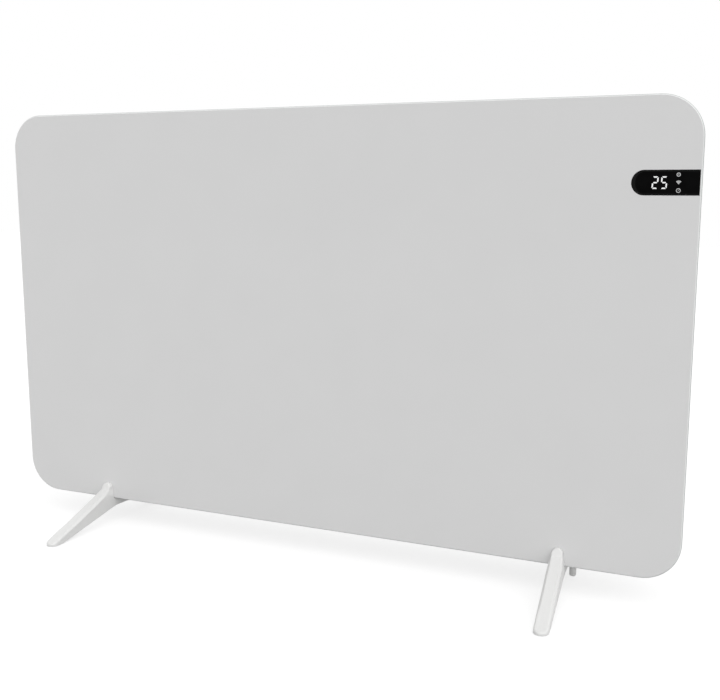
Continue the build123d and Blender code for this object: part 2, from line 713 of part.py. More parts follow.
def board_screws():
    back = board_face() + BOARD
    head = (2 * BOARD_SCREW_RADIUS, BOARD_SCREW_HEAD_HEIGHT)
    shank = (BOARD_SCREW_RADIUS, back - tray_back - TRAY_WALL - 1)
    return Compound([screw((x, back, z), (0, -1, 0), head, shank) for x, z in standoff_places()])


def on_board(size, dx, dz):
    """A block that stands on the board's back, dx and dz from its middle."""
    x, z = board_area()
    width, depth, height = size
    back = board_face() + BOARD
    return block((x + dx - width / 2, x + dx + width / 2), (back, back + depth),
                 (z + dz - height / 2, z + dz + height / 2))


def relays():
    gap = board_size()[0] / 4
    return Compound([on_board(RELAY_SIZE, side * gap, -board_size()[1] / 4) for side in (-1, 1)])


def transformer():
    core = on_board(TRANSFORMER_SIZE, -board_size()[0] / 5, board_size()[1] / 5)
    winding = on_board([size * share for size, share in zip(TRANSFORMER_SIZE, WINDING_SHARE)],
                       -board_size()[0] / 5, board_size()[1] / 5)
    return core + winding


def capacitors():
    x, z = board_area()
    back = board_face() + BOARD
    return Compound([barrel(x + board_size()[0] / 4, (back, back + CAPACITOR_HEIGHT),
                            z + board_size()[1] / 5 + dz, CAPACITOR_RADIUS)
                     for dz in spaced(2, CAPACITOR_PITCH)])


def terminal_block():
    """Three-way block on the tray, below the electronics."""
    x = bulkhead_place + 3 * TRAY_FLANGE
    z = body_bottom + GLAND_RISE
    width, depth, height = TERMINAL_SIZE
    back = tray_back + depth
    entry = tray_back + TERMINAL_ENTRY_RISE
    terminal = block((x - width / 2, x + width / 2), (tray_back, back), (z - height / 2, z + height / 2))
    for way in spaced(TERMINAL_WAYS, TERMINAL_PITCH):
        terminal -= barrel(x + way, (back - TERMINAL_SCREW_DEPTH, back + 1), z, TERMINAL_SCREW_BORE)
        terminal -= block((x + way - TERMINAL_ENTRY[0] / 2, x + way + TERMINAL_ENTRY[0] / 2),
                          (entry - TERMINAL_ENTRY[1] / 2, entry + TERMINAL_ENTRY[1] / 2), (z - height, z + height))
    return terminal


def earth_screw():
    """Earth stud and ring tag on the tray."""
    x = bulkhead_place + 7 * TRAY_FLANGE
    z = body_bottom + GLAND_RISE
    stud = barrel(x, (tray_back, tray_back + EARTH_STUD_LENGTH), z, EARTH_STUD_RADIUS)
    tag = barrel(x, (tray_back, tray_back + SHEET), z, EARTH_TAG_RADIUS)
    nut = back_slab(Pos(x, z) * RegularPolygon(EARTH_NUT_RADIUS, 6), tray_back + SHEET, EARTH_NUT_HEIGHT)
    return stud + tag + nut


# ---------------------------------------------------------------- display unit
def display_frame_outline():
    width, height = DISPLAY_OPENING
    wall = 2 * DISPLAY_FRAME_WALL
    return Pos(display_centre_x(), window_z) * Rectangle(width + wall, height + wall)


def display_board_face():
    return tray_back + DISPLAY_FRAME


def display_holder():
    frame = back_slab(display_frame_outline(), tray_back, DISPLAY_FRAME)
    return frame - display_opening(tray_back, DISPLAY_FRAME)


def display_board():
    return back_slab(display_frame_outline(), display_board_face(), BOARD)


def digit_module():
    width, height = DIGIT_SIZE
    front = glass_back + LED_PLAY
    return back_slab(Pos(digits_x, window_z) * Rectangle(width, height), front, display_board_face() - front)


def icon_leds():
    front = glass_back + LED_PLAY
    return Compound([back_slab(Pos(icons_x, window_z + z) * Rectangle(ICON_LED, ICON_LED), front,
                               display_board_face() - front) for z in spaced(3, ICON_PITCH)])


def touch_springs():
    """Touch pads' spring tubes, from the board to the back of the glass."""
    x = icons_x - TOUCH_INSET
    front = glass_back
    springs = []
    for z in spaced(3, ICON_PITCH):
        tube = barrel(x, (front, display_board_face()), window_z + z, TOUCH_SPRING_RADIUS)
        springs.append(tube - barrel(x, (front, display_board_face()), window_z + z, TOUCH_SPRING_RADIUS / 2))
    return Compound(springs)


def radio_module():
    width, depth, height = RADIO_SIZE
    back = display_board_face() + BOARD
    x = display_centre_x()
    return block((x - width / 2, x + width / 2), (back, back + depth),
                 (window_z - height / 2, window_z + height / 2))


def display_lead():
    """Flat lead from the display board down to the power board."""
    x = display_centre_x() - RADIO_SIZE[0] / 2 - RIBBON_WIDTH / 2
    start = display_board_face() + BOARD
    end = board_face() + BOARD
    top = window_z
    low = board_area()[1] + board_size()[1] / 2 - STANDOFF_RADIUS * 3
    out = 4 * RIBBON
    route = [(start, top), (start + out, top), (end + out, low), (end, low)]
    ribbon = trace(Polyline(*route), line_width=RIBBON)
    ribbon = extrude(Plane.YZ * ribbon, amount=RIBBON_WIDTH / 2, both=True)
    keep = block((-RIBBON_WIDTH, RIBBON_WIDTH), (min(start, end), start + 10 * out), (low - out, top + out))
    return Pos(x, 0, 0) * (ribbon & keep)


# ---------------------------------------------------------------- room sensor and inner wiring
def sensor_place():
    return body_side - 3 * TRAY_FLANGE, (tray_back + inner_back) / 2, body_bottom + SHEET


def sensor_clip():
    x, y, z = sensor_place()
    width, depth, height = SENSOR_POST
    post = block((x - width / 2, x + width / 2), (y - depth / 2, y + depth / 2), (z, z + height))
    return post - barrel(x, (y - depth, y + depth), z + SENSOR_RISE, SENSOR_RADIUS + PART_PLAY)


def room_sensor():
    x, y, z = sensor_place()
    return barrel(x, (y - SENSOR_LENGTH / 2, y + SENSOR_LENGTH / 2), z + SENSOR_RISE, SENSOR_RADIUS)


def wire(*points):
    """Insulated wire along straight runs joined by arcs, six sided."""
    path = FilletPolyline(*points, radius=WIRE_BEND)
    start = Plane(origin=path @ 0, z_dir=path % 0)
    return sweep(start * RegularPolygon(WIRE_RADIUS, 6), path=path)


def element_leads():
    """Wires from the rod's two ends, through the grommet, to the power board."""
    back = board_face() + BOARD
    landing = board_area()[1] - board_size()[1] / 2 + 3 * STANDOFF_RADIUS
    inside = bulkhead_place + 4 * TRAY_FLANGE
    right_tab = rod_end(1) + SPADE[0] * 1.5
    left_tab = rod_end(-1) - SPADE[0] * 1.5
    low = element_z - FIN_SPREAD_HEIGHT - 2 * FIN_LIP
    drop = 2 * WIRE_BEND
    beside = element_z - 2 * WIRE_RADIUS - PART_PLAY
    right = wire((right_tab, element_y, element_z), (inside, element_y, element_z),
                 (inside, element_y, landing), (inside, back, landing))
    left = wire((left_tab, element_y, element_z), (left_tab - drop, element_y, element_z),
                (left_tab - drop, element_y, low), (bulkhead_place - drop, element_y, low),
                (bulkhead_place - drop, element_y, beside), (inside - drop, element_y, beside),
                (inside - drop, element_y, landing), (inside - drop, back, landing))
    return Compound([right, left])


# ---------------------------------------------------------------- feet
def foot_line(side, reach):
    """Place on the floor plan at a distance behind the glass's face, along a foot's middle line."""
    turn = radians(FOOT_SPLAY) * side
    return side * foot_place - reach * sin(turn), glass_face + reach * cos(turn)


def foot_screw_places(side):
    return [foot_line(side, foot_plate_front + FOOT_PLATE_MARGIN),
            foot_line(side, foot_plate_back - FOOT_PLATE_MARGIN)]


def foot_profile():
    """Side view of a foot, Y back from the glass's face: toe, lip, seat under the body, heel and arch."""
    sole = PAD_STAND
    toe_top = sole + TOE_HEIGHT
    crown = glass_bottom - CROWN_GAP
    return Polyline((-TOE_REACH, sole), (-TOE_REACH, toe_top), (-LIP, glass_bottom + LIP_SHOULDER),
                    (-LIP_TOP, glass_bottom + LIP_HEIGHT), (LIP_BACK, glass_bottom + LIP_HEIGHT),
                    (LIP_BACK, body_bottom), (foot_seat_back, body_bottom),
                    (foot_seat_back + BLOCK_BACK_FALL / 2, body_bottom - BLOCK_BACK_FALL),
                    (HEEL_REACH, toe_top), (HEEL_REACH, sole), (HEEL_REACH - SOLE_LENGTH, sole),
                    (CROWN_BACK, crown), (CROWN_FRONT, crown), (SOLE_LENGTH - TOE_REACH, sole), close=True)


def foot(side):
    """Moulded foot: an arch with rounded toe and heel, and a rounded lip that stands in front of the glass."""
    arch = extrude(make_face(Plane.YZ * foot_profile()), amount=foot_round, both=True)
    crown = glass_bottom - CROWN_GAP
    bends = [e for e in arch.edges().filter_by(Axis.X) if abs(e.center().Z - crown) < 0.01]
    arch = fillet(bends, CROWN_BEND)
    length = TOE_REACH + HEEL_REACH
    plan = Pos(0, (HEEL_REACH - TOE_REACH) / 2) * Rot(0, 0, 90) * SlotOverall(length, FOOT_WIDTH)
    arch &= extrude(plan, amount=body_bottom + LIP_HEIGHT)
    tip_middle = glass_bottom + LIP_HEIGHT - TOE_REACH / 2
    tip_outline = Pos(0, tip_middle) * Rot(0, 0, 90) * SlotOverall(TOE_REACH, FOOT_WIDTH)
    front = arch & back_slab(tip_outline, -TOE_REACH, TOE_REACH + LIP_BACK)
    behind = arch & block((-FOOT_WIDTH, FOOT_WIDTH), (LIP_BACK, HEEL_REACH), (0, body_bottom + LIP_HEIGHT))
    shape = front + behind
    slope = [f for f in shape.faces() if f.normal_at(f.center()).Y < -0.2 and f.normal_at(f.center()).Z > 0.2
             and f.center().Y < -FOOT_EDGE]
    shoulder = [e for f in slope for e in f.edges()
                if abs(e.center().X) > 0.5 and e.center().Z < glass_bottom + LIP_HEIGHT]
    shape = fillet(shoulder, min(FOOT_EDGE, 0.95 * TOE_HEIGHT, 0.95 * LIP_TOP))
    shape = Pos(side * foot_place, glass_face, 0) * Rot(0, 0, side * FOOT_SPLAY) * shape
    shape -= block((side * foot_place - FOOT_WIDTH, side * foot_place + FOOT_WIDTH),
                   (glass_face - FOOT_PLAY, glass_back + FOOT_PLAY),
                   (glass_bottom - FOOT_PLAY, body_bottom + LIP_HEIGHT))
    for x, y in foot_screw_places(side):
        shape -= pillar(x, y, (0, body_bottom + 1), FOOT_SCREW_RADIUS + FOOT_SCREW_PLAY)
        shape -= pillar(x, y, (0, body_bottom - FOOT_SCREW_GRIP), FOOT_SCREW_HEAD + FOOT_SCREW_PLAY)
    for pad in foot_pad_outlines(side):
        shape -= extrude(pad, amount=PAD + PART_PLAY)
    if side > 0:
        shape -= pillar(tip_place, tip_y, (0, body_bottom + 1), snout_radius() + FOOT_PLAY)
    return shape


def foot_pad_outlines(side, play=PART_PLAY):
    """Rounded pads under the toe and the heel, seen from above."""
    outlines = []
    inset = SOLE_LENGTH / 2 + PAD_STAND
    for reach in (inset - TOE_REACH, HEEL_REACH - inset):
        x, y = foot_line(side, reach)
        shape = SlotOverall(PAD_LENGTH + 2 * play, PAD_WIDTH + 2 * play)
        outlines.append(Pos(x, y) * Rot(0, 0, 90 + side * FOOT_SPLAY) * shape)
    return outlines


def foot_pads():
    return Compound([extrude(pad, amount=PAD) for side in (-1, 1) for pad in foot_pad_outlines(side, 0)])


def foot_plates():
    """Threaded plates inside the body, over the feet."""
    plates = []
    low = body_bottom + SHEET
    for side in (-1, 1):
        x, y = foot_line(side, (foot_plate_front + foot_plate_back) / 2)
        plate = Pos(x, y) * Rot(0, 0, side * FOOT_SPLAY) * Rectangle(FOOT_PLATE_WIDTH,
                                                                     foot_plate_back - foot_plate_front)
        plate = extrude(Plane(origin=(0, 0, low)) * plate, amount=FOOT_PLATE)
        for px, py in foot_screw_places(side):
            plate -= pillar(px, py, (low - 1, low + FOOT_PLATE + 1), FOOT_SCREW_RADIUS + THREAD_PLAY)
        plates.append(plate)
    return Compound(plates)


def foot_screws():
    seat = body_bottom - FOOT_SCREW_GRIP
    head = (FOOT_SCREW_HEAD, FOOT_SCREW_HEAD_HEIGHT)
    shank = (FOOT_SCREW_RADIUS, FOOT_SCREW_GRIP + SHEET + FOOT_PLATE + SHEET)
    return Compound([screw((x, y, seat), (0, 0, 1), head, shank)
                     for side in (-1, 1) for x, y in foot_screw_places(side)])


# ---------------------------------------------------------------- tip-over switch
def guide_radius():
    return COLLAR_RADIUS + PART_PLAY + PLUNGER_PLAY + GUIDE_WALL


def snout_radius():
    return PLUNGER_RADIUS + GUIDE_WALL


def chamber_floor():
    return body_bottom + SHEET + GUIDE_FLANGE


def cap_top():
    return chamber_floor() + CHAMBER_HEIGHT


def stem_top():
    return cap_top() + TIP_TRAVEL + STEM_SPARE


def lever_pivot():
    """Place of the lever's pin: its arm reaches back over the stem."""
    return tip_place + LEVER_ARM, stem_top() + LEVER_GAP + LEVER / 2


def switch_bottom():
    return stem_top() + LEVER_GAP + LEVER + LEVER_KNUCKLE


def tip_guide():
    """Moulded guide: a snout through the body's bottom, a spring chamber above it and a post for the switch."""
    chamber = guide_radius() - GUIDE_WALL
    snout_low = body_bottom - GUIDE_SNOUT
    guide = pillar(tip_place, tip_y, (snout_low, chamber_floor()), snout_radius())
    guide += pillar(tip_place, tip_y, (chamber_floor() - GUIDE_FLANGE, chamber_floor()),
                    guide_radius() + GUIDE_FLANGE)
    guide += pillar(tip_place, tip_y, (chamber_floor() - GUIDE_FLANGE, cap_top()), guide_radius())
    guide -= pillar(tip_place, tip_y, (chamber_floor(), cap_top() - GUIDE_WALL), chamber)
    guide -= pillar(tip_place, tip_y, (snout_low - 1, chamber_floor() + 1), PLUNGER_RADIUS + PLUNGER_PLAY)
    guide -= pillar(tip_place, tip_y, (cap_top() - GUIDE_WALL - 1, cap_top() + 1), STEM_RADIUS + PLUNGER_PLAY)
    post_face = tip_y + SWITCH_SIZE[1] / 2
    post = block((tip_place - guide_radius() / 2, tip_place + LEVER_ARM + SWITCH_SIZE[0] / 4),
                 (post_face, post_face + SWITCH_POST), (cap_top() - GUIDE_WALL, switch_bottom() + SWITCH_SIZE[2]))
    return guide + post


def tip_plunger():
    """Plunger: round foot on the floor, collar under the spring and a stem up to the lever."""
    collar_low = chamber_floor() + TIP_TRAVEL
    rod = pillar(tip_place, tip_y, (0, collar_low + COLLAR_HEIGHT), PLUNGER_RADIUS)
    tip = rod.edges().filter_by(GeomType.CIRCLE).sort_by(Axis.Z)[0]
    rod = fillet(tip, PLUNGER_TIP)
    rod += pillar(tip_place, tip_y, (collar_low, collar_low + COLLAR_HEIGHT), COLLAR_RADIUS)
    return rod + pillar(tip_place, tip_y, (collar_low, stem_top()), STEM_RADIUS)


def tip_spring():
    """Coil spring round the stem, between the collar and the cap."""
    low = chamber_floor() + TIP_TRAVEL + COLLAR_HEIGHT
    high = cap_top() - GUIDE_WALL
    clearance = SPRING_WIRE / 2
    radius = (STEM_RADIUS + COLLAR_RADIUS) / 2
    height = high - low - 2 * SPRING_WIRE - clearance
    path = Helix(pitch=height / SPRING_TURNS, height=height, radius=radius)
    start = Plane(origin=path @ 0, z_dir=path % 0)
    coil = sweep(start * RegularPolygon(SPRING_WIRE, 4), path=path, is_frenet=True)
    return Pos(tip_place, tip_y, low + SPRING_WIRE + clearance / 2) * coil


def tip_microswitch():
    """Snap switch on the guide's post, with a lug and pin for the lever."""
    pivot_x, pivot_z = lever_pivot()
    width, depth, height = SWITCH_SIZE
    low = switch_bottom()
    body = block((pivot_x - width * 0.8, pivot_x + width * 0.2), (tip_y - depth / 2, tip_y + depth / 2),
                 (low, low + height))
    lug_face = LEVER_WIDTH / 2 + LEVER_GAP
    lug = block((pivot_x - LEVER_KNUCKLE, pivot_x + LEVER_KNUCKLE), (tip_y + lug_face, tip_y + depth / 2),
                (pivot_z - LEVER_KNUCKLE, low + 1))
    pin = barrel(pivot_x, (tip_y - LEVER_WIDTH / 2, tip_y + lug_face), pivot_z, LEVER_PIN)
    return body + lug + pin


def tip_lever():
    """Flat lever that rides on the stem."""
    pivot_x, pivot_z = lever_pivot()
    depth = (tip_y - LEVER_WIDTH / 2, tip_y + LEVER_WIDTH / 2)
    blade = block((tip_place - STEM_RADIUS, pivot_x), depth, (pivot_z - LEVER / 2, pivot_z + LEVER / 2))
    blade += barrel(pivot_x, depth, pivot_z, LEVER_KNUCKLE)
    return blade - barrel(pivot_x, (depth[0] - 1, depth[1] + 1), pivot_z, LEVER_PIN + LEVER_PIN_PLAY)


# ---------------------------------------------------------------- mains switch
def rocker_place():
    return body_side + BEZEL - ROCKER_PIVOT_DEPTH, (tray_face + body_back) / 2, body_bottom + ROCKER_RISE


def cavity_half():
    return ROCKER_SWING + ROCKER_PLAY, ROCKER_WIDTH / 2 + ROCKER_PLAY


def rocker_cutter():
    """Hole in the right wall for the switch's housing."""
    _, y, z = rocker_place()
    half_z, half_y = cavity_half()
    edge = HOUSING_WALL + PART_PLAY
    return block((body_side - SHEET - 1, body_side + 1), (y - half_y - edge, y + half_y + edge),
                 (z - half_z - edge, z + half_z + edge))


def rocker_housing():
    """Bezel on the wall, a box behind it and two blade terminals."""
    x, y, z = rocker_place()
    half_z, half_y = cavity_half()
    back = body_side - HOUSING_DEPTH
    box_y, box_z = half_y + HOUSING_WALL, half_z + HOUSING_WALL
    housing = block((back, body_side + BEZEL), (y - box_y, y + box_y), (z - box_z, z + box_z))
    housing += block((body_side, body_side + BEZEL), (y - box_y - BEZEL_LIP, y + box_y + BEZEL_LIP),
                     (z - box_z - BEZEL_LIP, z + box_z + BEZEL_LIP))
    housing -= block((x - ROCKER_SWING - ROCKER_PLAY, body_side + BEZEL + 1), (y - half_y, y + half_y),
                     (z - half_z, z + half_z))
    bore_reach = ROCKER_WIDTH / 2 + ROCKER_PIN_LENGTH + ROCKER_PLAY
    housing -= barrel(x, (y - bore_reach, y + bore_reach), z, ROCKER_PIN + ROCKER_PIN_PLAY)
    for side in (-1, 1):
        tab = z + side * half_z / 2
        housing += block((back - SPADE[0], back), (y - SPADE[2] / 2, y + SPADE[2] / 2),
                         (tab - SPADE[1] / 2, tab + SPADE[1] / 2))
    return housing


def power_rocker():
    """Rocker with a shallow valley across its face, pressed in at its upper end."""
    x, y, z = rocker_place()
    rise = ROCKER_SWING * tan(radians(ROCKER_TILT))
    face = Polyline((-ROCKER_SWING, -ROCKER_SWING), (ROCKER_STAND + rise, -ROCKER_SWING), (ROCKER_STAND, 0),
                    (ROCKER_STAND + rise, ROCKER_SWING), (-ROCKER_SWING, ROCKER_SWING), close=True)
    section = make_face(Plane.XZ * face) & (Plane.XZ * Circle(ROCKER_SWING))
    rocker = extrude(section, amount=ROCKER_WIDTH / 2, both=True)
    pin_reach = ROCKER_WIDTH / 2 + ROCKER_PIN_LENGTH
    rocker += barrel(0, (-pin_reach, pin_reach), 0, ROCKER_PIN)
    return Pos(x, y, z) * Rot(0, -ROCKER_TILT, 0) * rocker


# ---------------------------------------------------------------- cord entry
def cable_gland():
    """Gland for the mains cord: hexagon and dome outside, threaded barrel inside."""
    z = body_bottom + GLAND_RISE
    hexagon = back_slab(Pos(gland_place, z) * RegularPolygon(GLAND_HEX, 6), body_back, GLAND_HEX_HEIGHT)
    dome_back = body_back + GLAND_HEX_HEIGHT + GLAND_DOME
    dome = barrel(gland_place, (body_back + GLAND_HEX_HEIGHT, dome_back), z, GLAND_THREAD)
    dome = chamfer(dome.edges().sort_by(Axis.Y)[-1], GLAND_DOME_EDGE)
    thread = barrel(gland_place, (inner_back - GLAND_INSIDE, body_back), z, GLAND_THREAD)
    bore = barrel(gland_place, (inner_back - GLAND_INSIDE - 1, dome_back + 1), z, CORD_BORE)
    return hexagon + dome + thread - bore


def gland_nut():
    z = body_bottom + GLAND_RISE
    nut = back_slab(Pos(gland_place, z) * RegularPolygon(GLAND_HEX, 6), inner_back - GLAND_HEX_HEIGHT,
                    GLAND_HEX_HEIGHT)
    return nut - barrel(gland_place, (inner_back - GLAND_INSIDE, inner_back + 1), z, GLAND_THREAD + THREAD_PLAY)


# ---------------------------------------------------------------- write every piece
os.makedirs("parts", exist_ok=True)
for piece in (glass_panel, display_window, bond_strips, front_tray, rear_cover, cover_screws, outlet_grille,
              heat_shield, element_fins, element_rod, element_brackets, element_insulators,
              element_terminals, thermal_cutout, thermal_fuse, fuse_clip, bulkhead, bulkhead_grommet,
              board_tray, power_board, board_screws, relays, transformer, capacitors, terminal_block,
              earth_screw, display_holder, display_board, digit_module, icon_leds, touch_springs,
              radio_module, display_lead, sensor_clip, room_sensor, element_leads, foot_pads, foot_plates,
              foot_screws, tip_guide, tip_plunger, tip_spring, tip_microswitch, tip_lever, rocker_housing,
              power_rocker, cable_gland, gland_nut):
    save(piece.__name__, piece())
save("foot_left", foot(-1))
save("foot_right", foot(1))
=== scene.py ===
"""Looks of a slim panel heater: a white glass front with a small dark display, a powder coated
steel body behind it, and two splayed moulded feet. Every length is in metres unless its name
ends in _mm, and every angle in degrees."""
import json
import math

import bmesh
import bpy
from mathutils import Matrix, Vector


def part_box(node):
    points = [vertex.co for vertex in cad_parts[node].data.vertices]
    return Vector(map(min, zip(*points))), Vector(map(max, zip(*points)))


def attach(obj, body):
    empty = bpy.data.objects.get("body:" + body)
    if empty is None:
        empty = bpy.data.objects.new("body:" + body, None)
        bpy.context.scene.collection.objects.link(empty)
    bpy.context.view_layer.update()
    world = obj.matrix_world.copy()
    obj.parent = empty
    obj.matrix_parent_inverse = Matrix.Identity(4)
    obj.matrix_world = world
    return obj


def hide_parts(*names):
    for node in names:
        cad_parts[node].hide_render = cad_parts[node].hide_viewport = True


MM = 0.001
PER_METRE = 1000              # millimetres in a metre, for the scale of a pattern
MERGE = 1e-6                  # points nearer than this are one
SLIVER = 1e-5                 # edges shorter than this go

# Camera, as the photograph was taken: measured from the middle of the glass's face at floor level
PICTURE_WIDTH_PX = 720
FOCAL_PX = 981.5
SENSOR_WIDTH_MM = 36.0
CAMERA_RIGHT = 0.4750
CAMERA_IN_FRONT = 0.9545
CAMERA_HEIGHT = 0.4130
CAMERA_AZIMUTH = 23.473
CAMERA_DOWN = 9.506
CAMERA_CLIP = (0.02, 60.0)

# Light, plain and soft
SKY_LEVEL = 0.78
SUN_LEVEL = 1.42
SUN_FROM = (0.56, -0.58, 0.60)
SUN_SPREAD = 80.0
FLOOR_HALF = 6.0
FLOOR_GLOW = 0.72

# Noise: the stretches of its 0 to 1 over which a tone and a roughness change
TONE_SPAN = (0.35, 0.65)
ROUGHNESS_SPAN = (0.3, 0.7)

# Display
DIGIT_PITCH = 7.95 * MM
DIGIT_WIDTH = 4.4 * MM
DIGIT_HEIGHT = 10.25 * MM
DIGIT_STROKE = 1.22 * MM
DIGIT_SLANT = 0.057
DIGIT_LEVEL = 0.92            # strength of the light
SEGMENT_GAP = 0.36 * MM
SEGMENT_POINT = 1.4           # gaps from the middle to the points of the upright segments
PRINT = 0.04 * MM             # lit marks stand this far in front of the window
DIGITS_INSET = 35.7 * MM      # window's right end to the middle of the digits
LIT_SEGMENTS = ((-1, ("top", "upper_right", "middle", "lower_left", "bottom")),
                (1, ("top", "upper_left", "middle", "lower_right", "bottom")))
SIGN_INSETS = (19.15 * MM, 18.85 * MM, 18.75 * MM)
SIGN_RISES = (7.25 * MM, -1.65 * MM, -7.2 * MM)
SIGN_LEVEL = 0.75
SIGN_PARTS = (                # sign, radii inside and outside in mm, start and end of the arc
    (0, 1.10, 1.85, 0, 360), (0, 0.0, 0.35, 0, 360),                         # ring with a dot
    (1, 0.0, 1.5, 48, 132), (1, 1.7, 2.5, 48, 132), (1, 2.7, 3.5, 48, 132),  # three arcs
    (2, 1.45, 2.05, 0, 360), (2, 0.3, 1.45, 38, 62), (2, 0.0, 0.3, 0, 360))  # small dial
# Painted reflection: a lighter rim inside the window's outline, wider at its round end, stands in
# for the sheen of the lens's rounded edge.
RIM = 1.6 * MM
RIM_LEFT = 3.5 * MM           # the border is wider at the window's round end

# Rocker and gland
MARK_HEIGHT = 3.4 * MM
MARK_STROKE = 0.55 * MM
FACES_OUT = 0.9               # least share of a flat's normal that points sideways
GRIP_RIBS = 14
GRIP_WIDTH = 1.3 * MM
GRIP_HEIGHT = 0.6 * MM
GRIP_SUNK = 0.5               # share of a rib's height inside the dome
GRIP_TOP = 0.55               # share of its width at its top
GRIP_SPAN = (0.7 * MM, 4.6 * MM)    # behind the hexagon

# Feet: a finer lip in front of the glass, and a bevel on each side of the flat front
FOOT_TURN = 4.0               # turn of the toes outwards
STRIP_HALF = 4.9 * MM         # half the width of the flat front
EDGE = 2.6 * MM               # radius of the rounding beside it, and width of the bevel
SLOPE = 21.69                 # of the front, from the toe to the shoulder
SHOULDER = (-7.0 * MM, 42.0 * MM)      # where it ends: behind the glass's face, and height
BEVEL_START = (-84.0 * MM, -66.0 * MM)    # behind that face: where the rounding turns into
BEVEL_END = (-18.0 * MM, -8.0 * MM)       # the bevel, and back into the rounding
LIP_RANGE = (33.0 * MM, 43.0 * MM)     # heights between which the lip draws in
LIP_ROUND = 43.5 * MM         # height of the middle of its round head
LIP_SQUEEZE = 0.42            # share left of the edges beside the flat
LIP_CUTS = [height * MM for height in (33.0, 34.0, 35.0, 36.5, 38.0, 39.5, 41.0, 42.0, 43.0, 43.5)]
LEG_CUTS = [ahead * MM for ahead in (1.5, 4.5, 7.5, 10.5, 13.5, 16.5, 20.0, 25.0, 32.0, 45.0,
                                     58.0, 66.0, 69.0, 72.0, 75.0, 78.0, 81.0, 84.0)]
FLAT_BELOW = 0.05             # faces that meet at less than this become one
SMOOTH_BELOW = 30.0           # and at less than this are shaded smoothly

# Screws with a pan head and a cross recess: sizes in the names of the tree's inputs
COVER_SCREW = {"Head radius": 3.5 * MM, "Head height": 2.2 * MM,
               "Shank radius": 1.9 * MM, "Shank length": 7.0 * MM}
FOOT_SCREW = {"Head radius": 3.8 * MM, "Head height": 2.8 * MM,
              "Shank radius": 2.0 * MM, "Shank length": 13.0 * MM}
HEAD_SIDES = 28
SHANK_SIDES = 14
SKIRT_HEIGHT = 0.55           # shares of the head's height: its upright part, the part that
CROWN_HEIGHT = 0.45           # narrows, and the cross recess's cutter, half of it outside
CROSS_HEIGHT = 1.2
CROWN_RADIUS = 0.72           # shares of the head's radius: its top, and the arms of the cross
CROSS_LENGTH = 1.05
CROSS_WIDTH = 0.24

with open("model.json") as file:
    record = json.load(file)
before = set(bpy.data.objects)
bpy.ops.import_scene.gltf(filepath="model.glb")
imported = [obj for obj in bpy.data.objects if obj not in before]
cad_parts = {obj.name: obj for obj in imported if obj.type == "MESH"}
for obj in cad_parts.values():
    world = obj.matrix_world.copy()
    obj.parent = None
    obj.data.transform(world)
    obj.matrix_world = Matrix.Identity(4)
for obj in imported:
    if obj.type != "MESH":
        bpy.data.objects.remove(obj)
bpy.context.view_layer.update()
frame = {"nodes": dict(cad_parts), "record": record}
nodes = frame["nodes"]


# ---------------------------------------------------------------- nodes and materials
def linear(code):
    """sRGB hex, such as 'E6E6E4', to a linear colour."""
    values = []
    for i in (0, 2, 4):
        c = int(code[i:i + 2], 16) / 255
        values.append(c / 12.92 if c <= 0.04045 else ((c + 0.055) / 1.055) ** 2.4)
    return (*values, 1.0)


def add(tree, kind, settings=None, values=None, links=None, stops=()):
    """Adds a node with its settings, its inputs' values, the outputs linked into it, and a ramp's
    stops as places and sRGB codes."""
    node = tree.nodes.new(kind)
    for name, value in (settings or {}).items():
        setattr(node, name, value)
    for name, value in (values or {}).items():
        node.inputs[name].default_value = value
    for name, source in (links or {}).items():
        tree.links.new(source, node.inputs[name])
    for i, (at, code) in enumerate(stops):
        ramp = node.color_ramp.elements
        stop = ramp[i] if i < len(ramp) else ramp.new(at)
        stop.position, stop.color = at, linear(code)
    return node


def begin(name, **surface):
    """A new material with its shader; the surface's constant values go on the shader's sockets."""
    material = bpy.data.materials.new(name)
    material.use_nodes = True
    tree = material.node_tree
    tree.nodes.clear()
    shader = add(tree, "ShaderNodeBsdfPrincipled")
    for socket, value in surface.items():
        shader.inputs[socket.replace("_", " ")].default_value = value
    add(tree, "ShaderNodeOutputMaterial", links={"Surface": shader.outputs[0]})
    return material, tree, shader


def grained(name, cell_mm, tones, roughness=None, relief_mm=None, detail=2.0, stretch=(1, 1, 1),
            relief_grain=None, **surface):
    """A material that runs between two tones with noise on the object's own coordinates.

    The noise has cells of cell_mm, squeezed along X, Y and Z by stretch. The roughness runs between
    two values with it, and the relief follows it too, unless relief_grain gives that a cell and a
    detail of its own."""
    material, tree, shader = begin(name, **surface)
    place = add(tree, "ShaderNodeTexCoord").outputs["Object"]
    squeezed = place
    if stretch != (1, 1, 1):
        squeezed = add(tree, "ShaderNodeMapping", values={"Scale": stretch},
                       links={"Vector": place}).outputs[0]
    noise = add(tree, "ShaderNodeTexNoise",
                values={"Scale": PER_METRE / cell_mm, "Detail": detail},
                links={"Vector": squeezed}).outputs["Fac"]
    tone = add(tree, "ShaderNodeValToRGB", links={"Fac": noise}, stops=zip(TONE_SPAN, tones))
    tree.links.new(tone.outputs[0], shader.inputs["Base Color"])
    if roughness:
        level = add(tree, "ShaderNodeMapRange",
                    values={"From Min": ROUGHNESS_SPAN[0], "From Max": ROUGHNESS_SPAN[1],
                            "To Min": roughness[0], "To Max": roughness[1]},
                    links={"Value": noise})
        tree.links.new(level.outputs[0], shader.inputs["Roughness"])
    if relief_mm:
        height = noise
        if relief_grain:
            cell, fineness = relief_grain
            height = add(tree, "ShaderNodeTexNoise",
                         values={"Scale": PER_METRE / cell, "Detail": fineness},
                         links={"Vector": place}).outputs["Fac"]
        bump = add(tree, "ShaderNodeBump", values={"Strength": 1.0, "Distance": relief_mm * MM},
                   links={"Height": height})
        tree.links.new(bump.outputs[0], shader.inputs["Normal"])
    return material


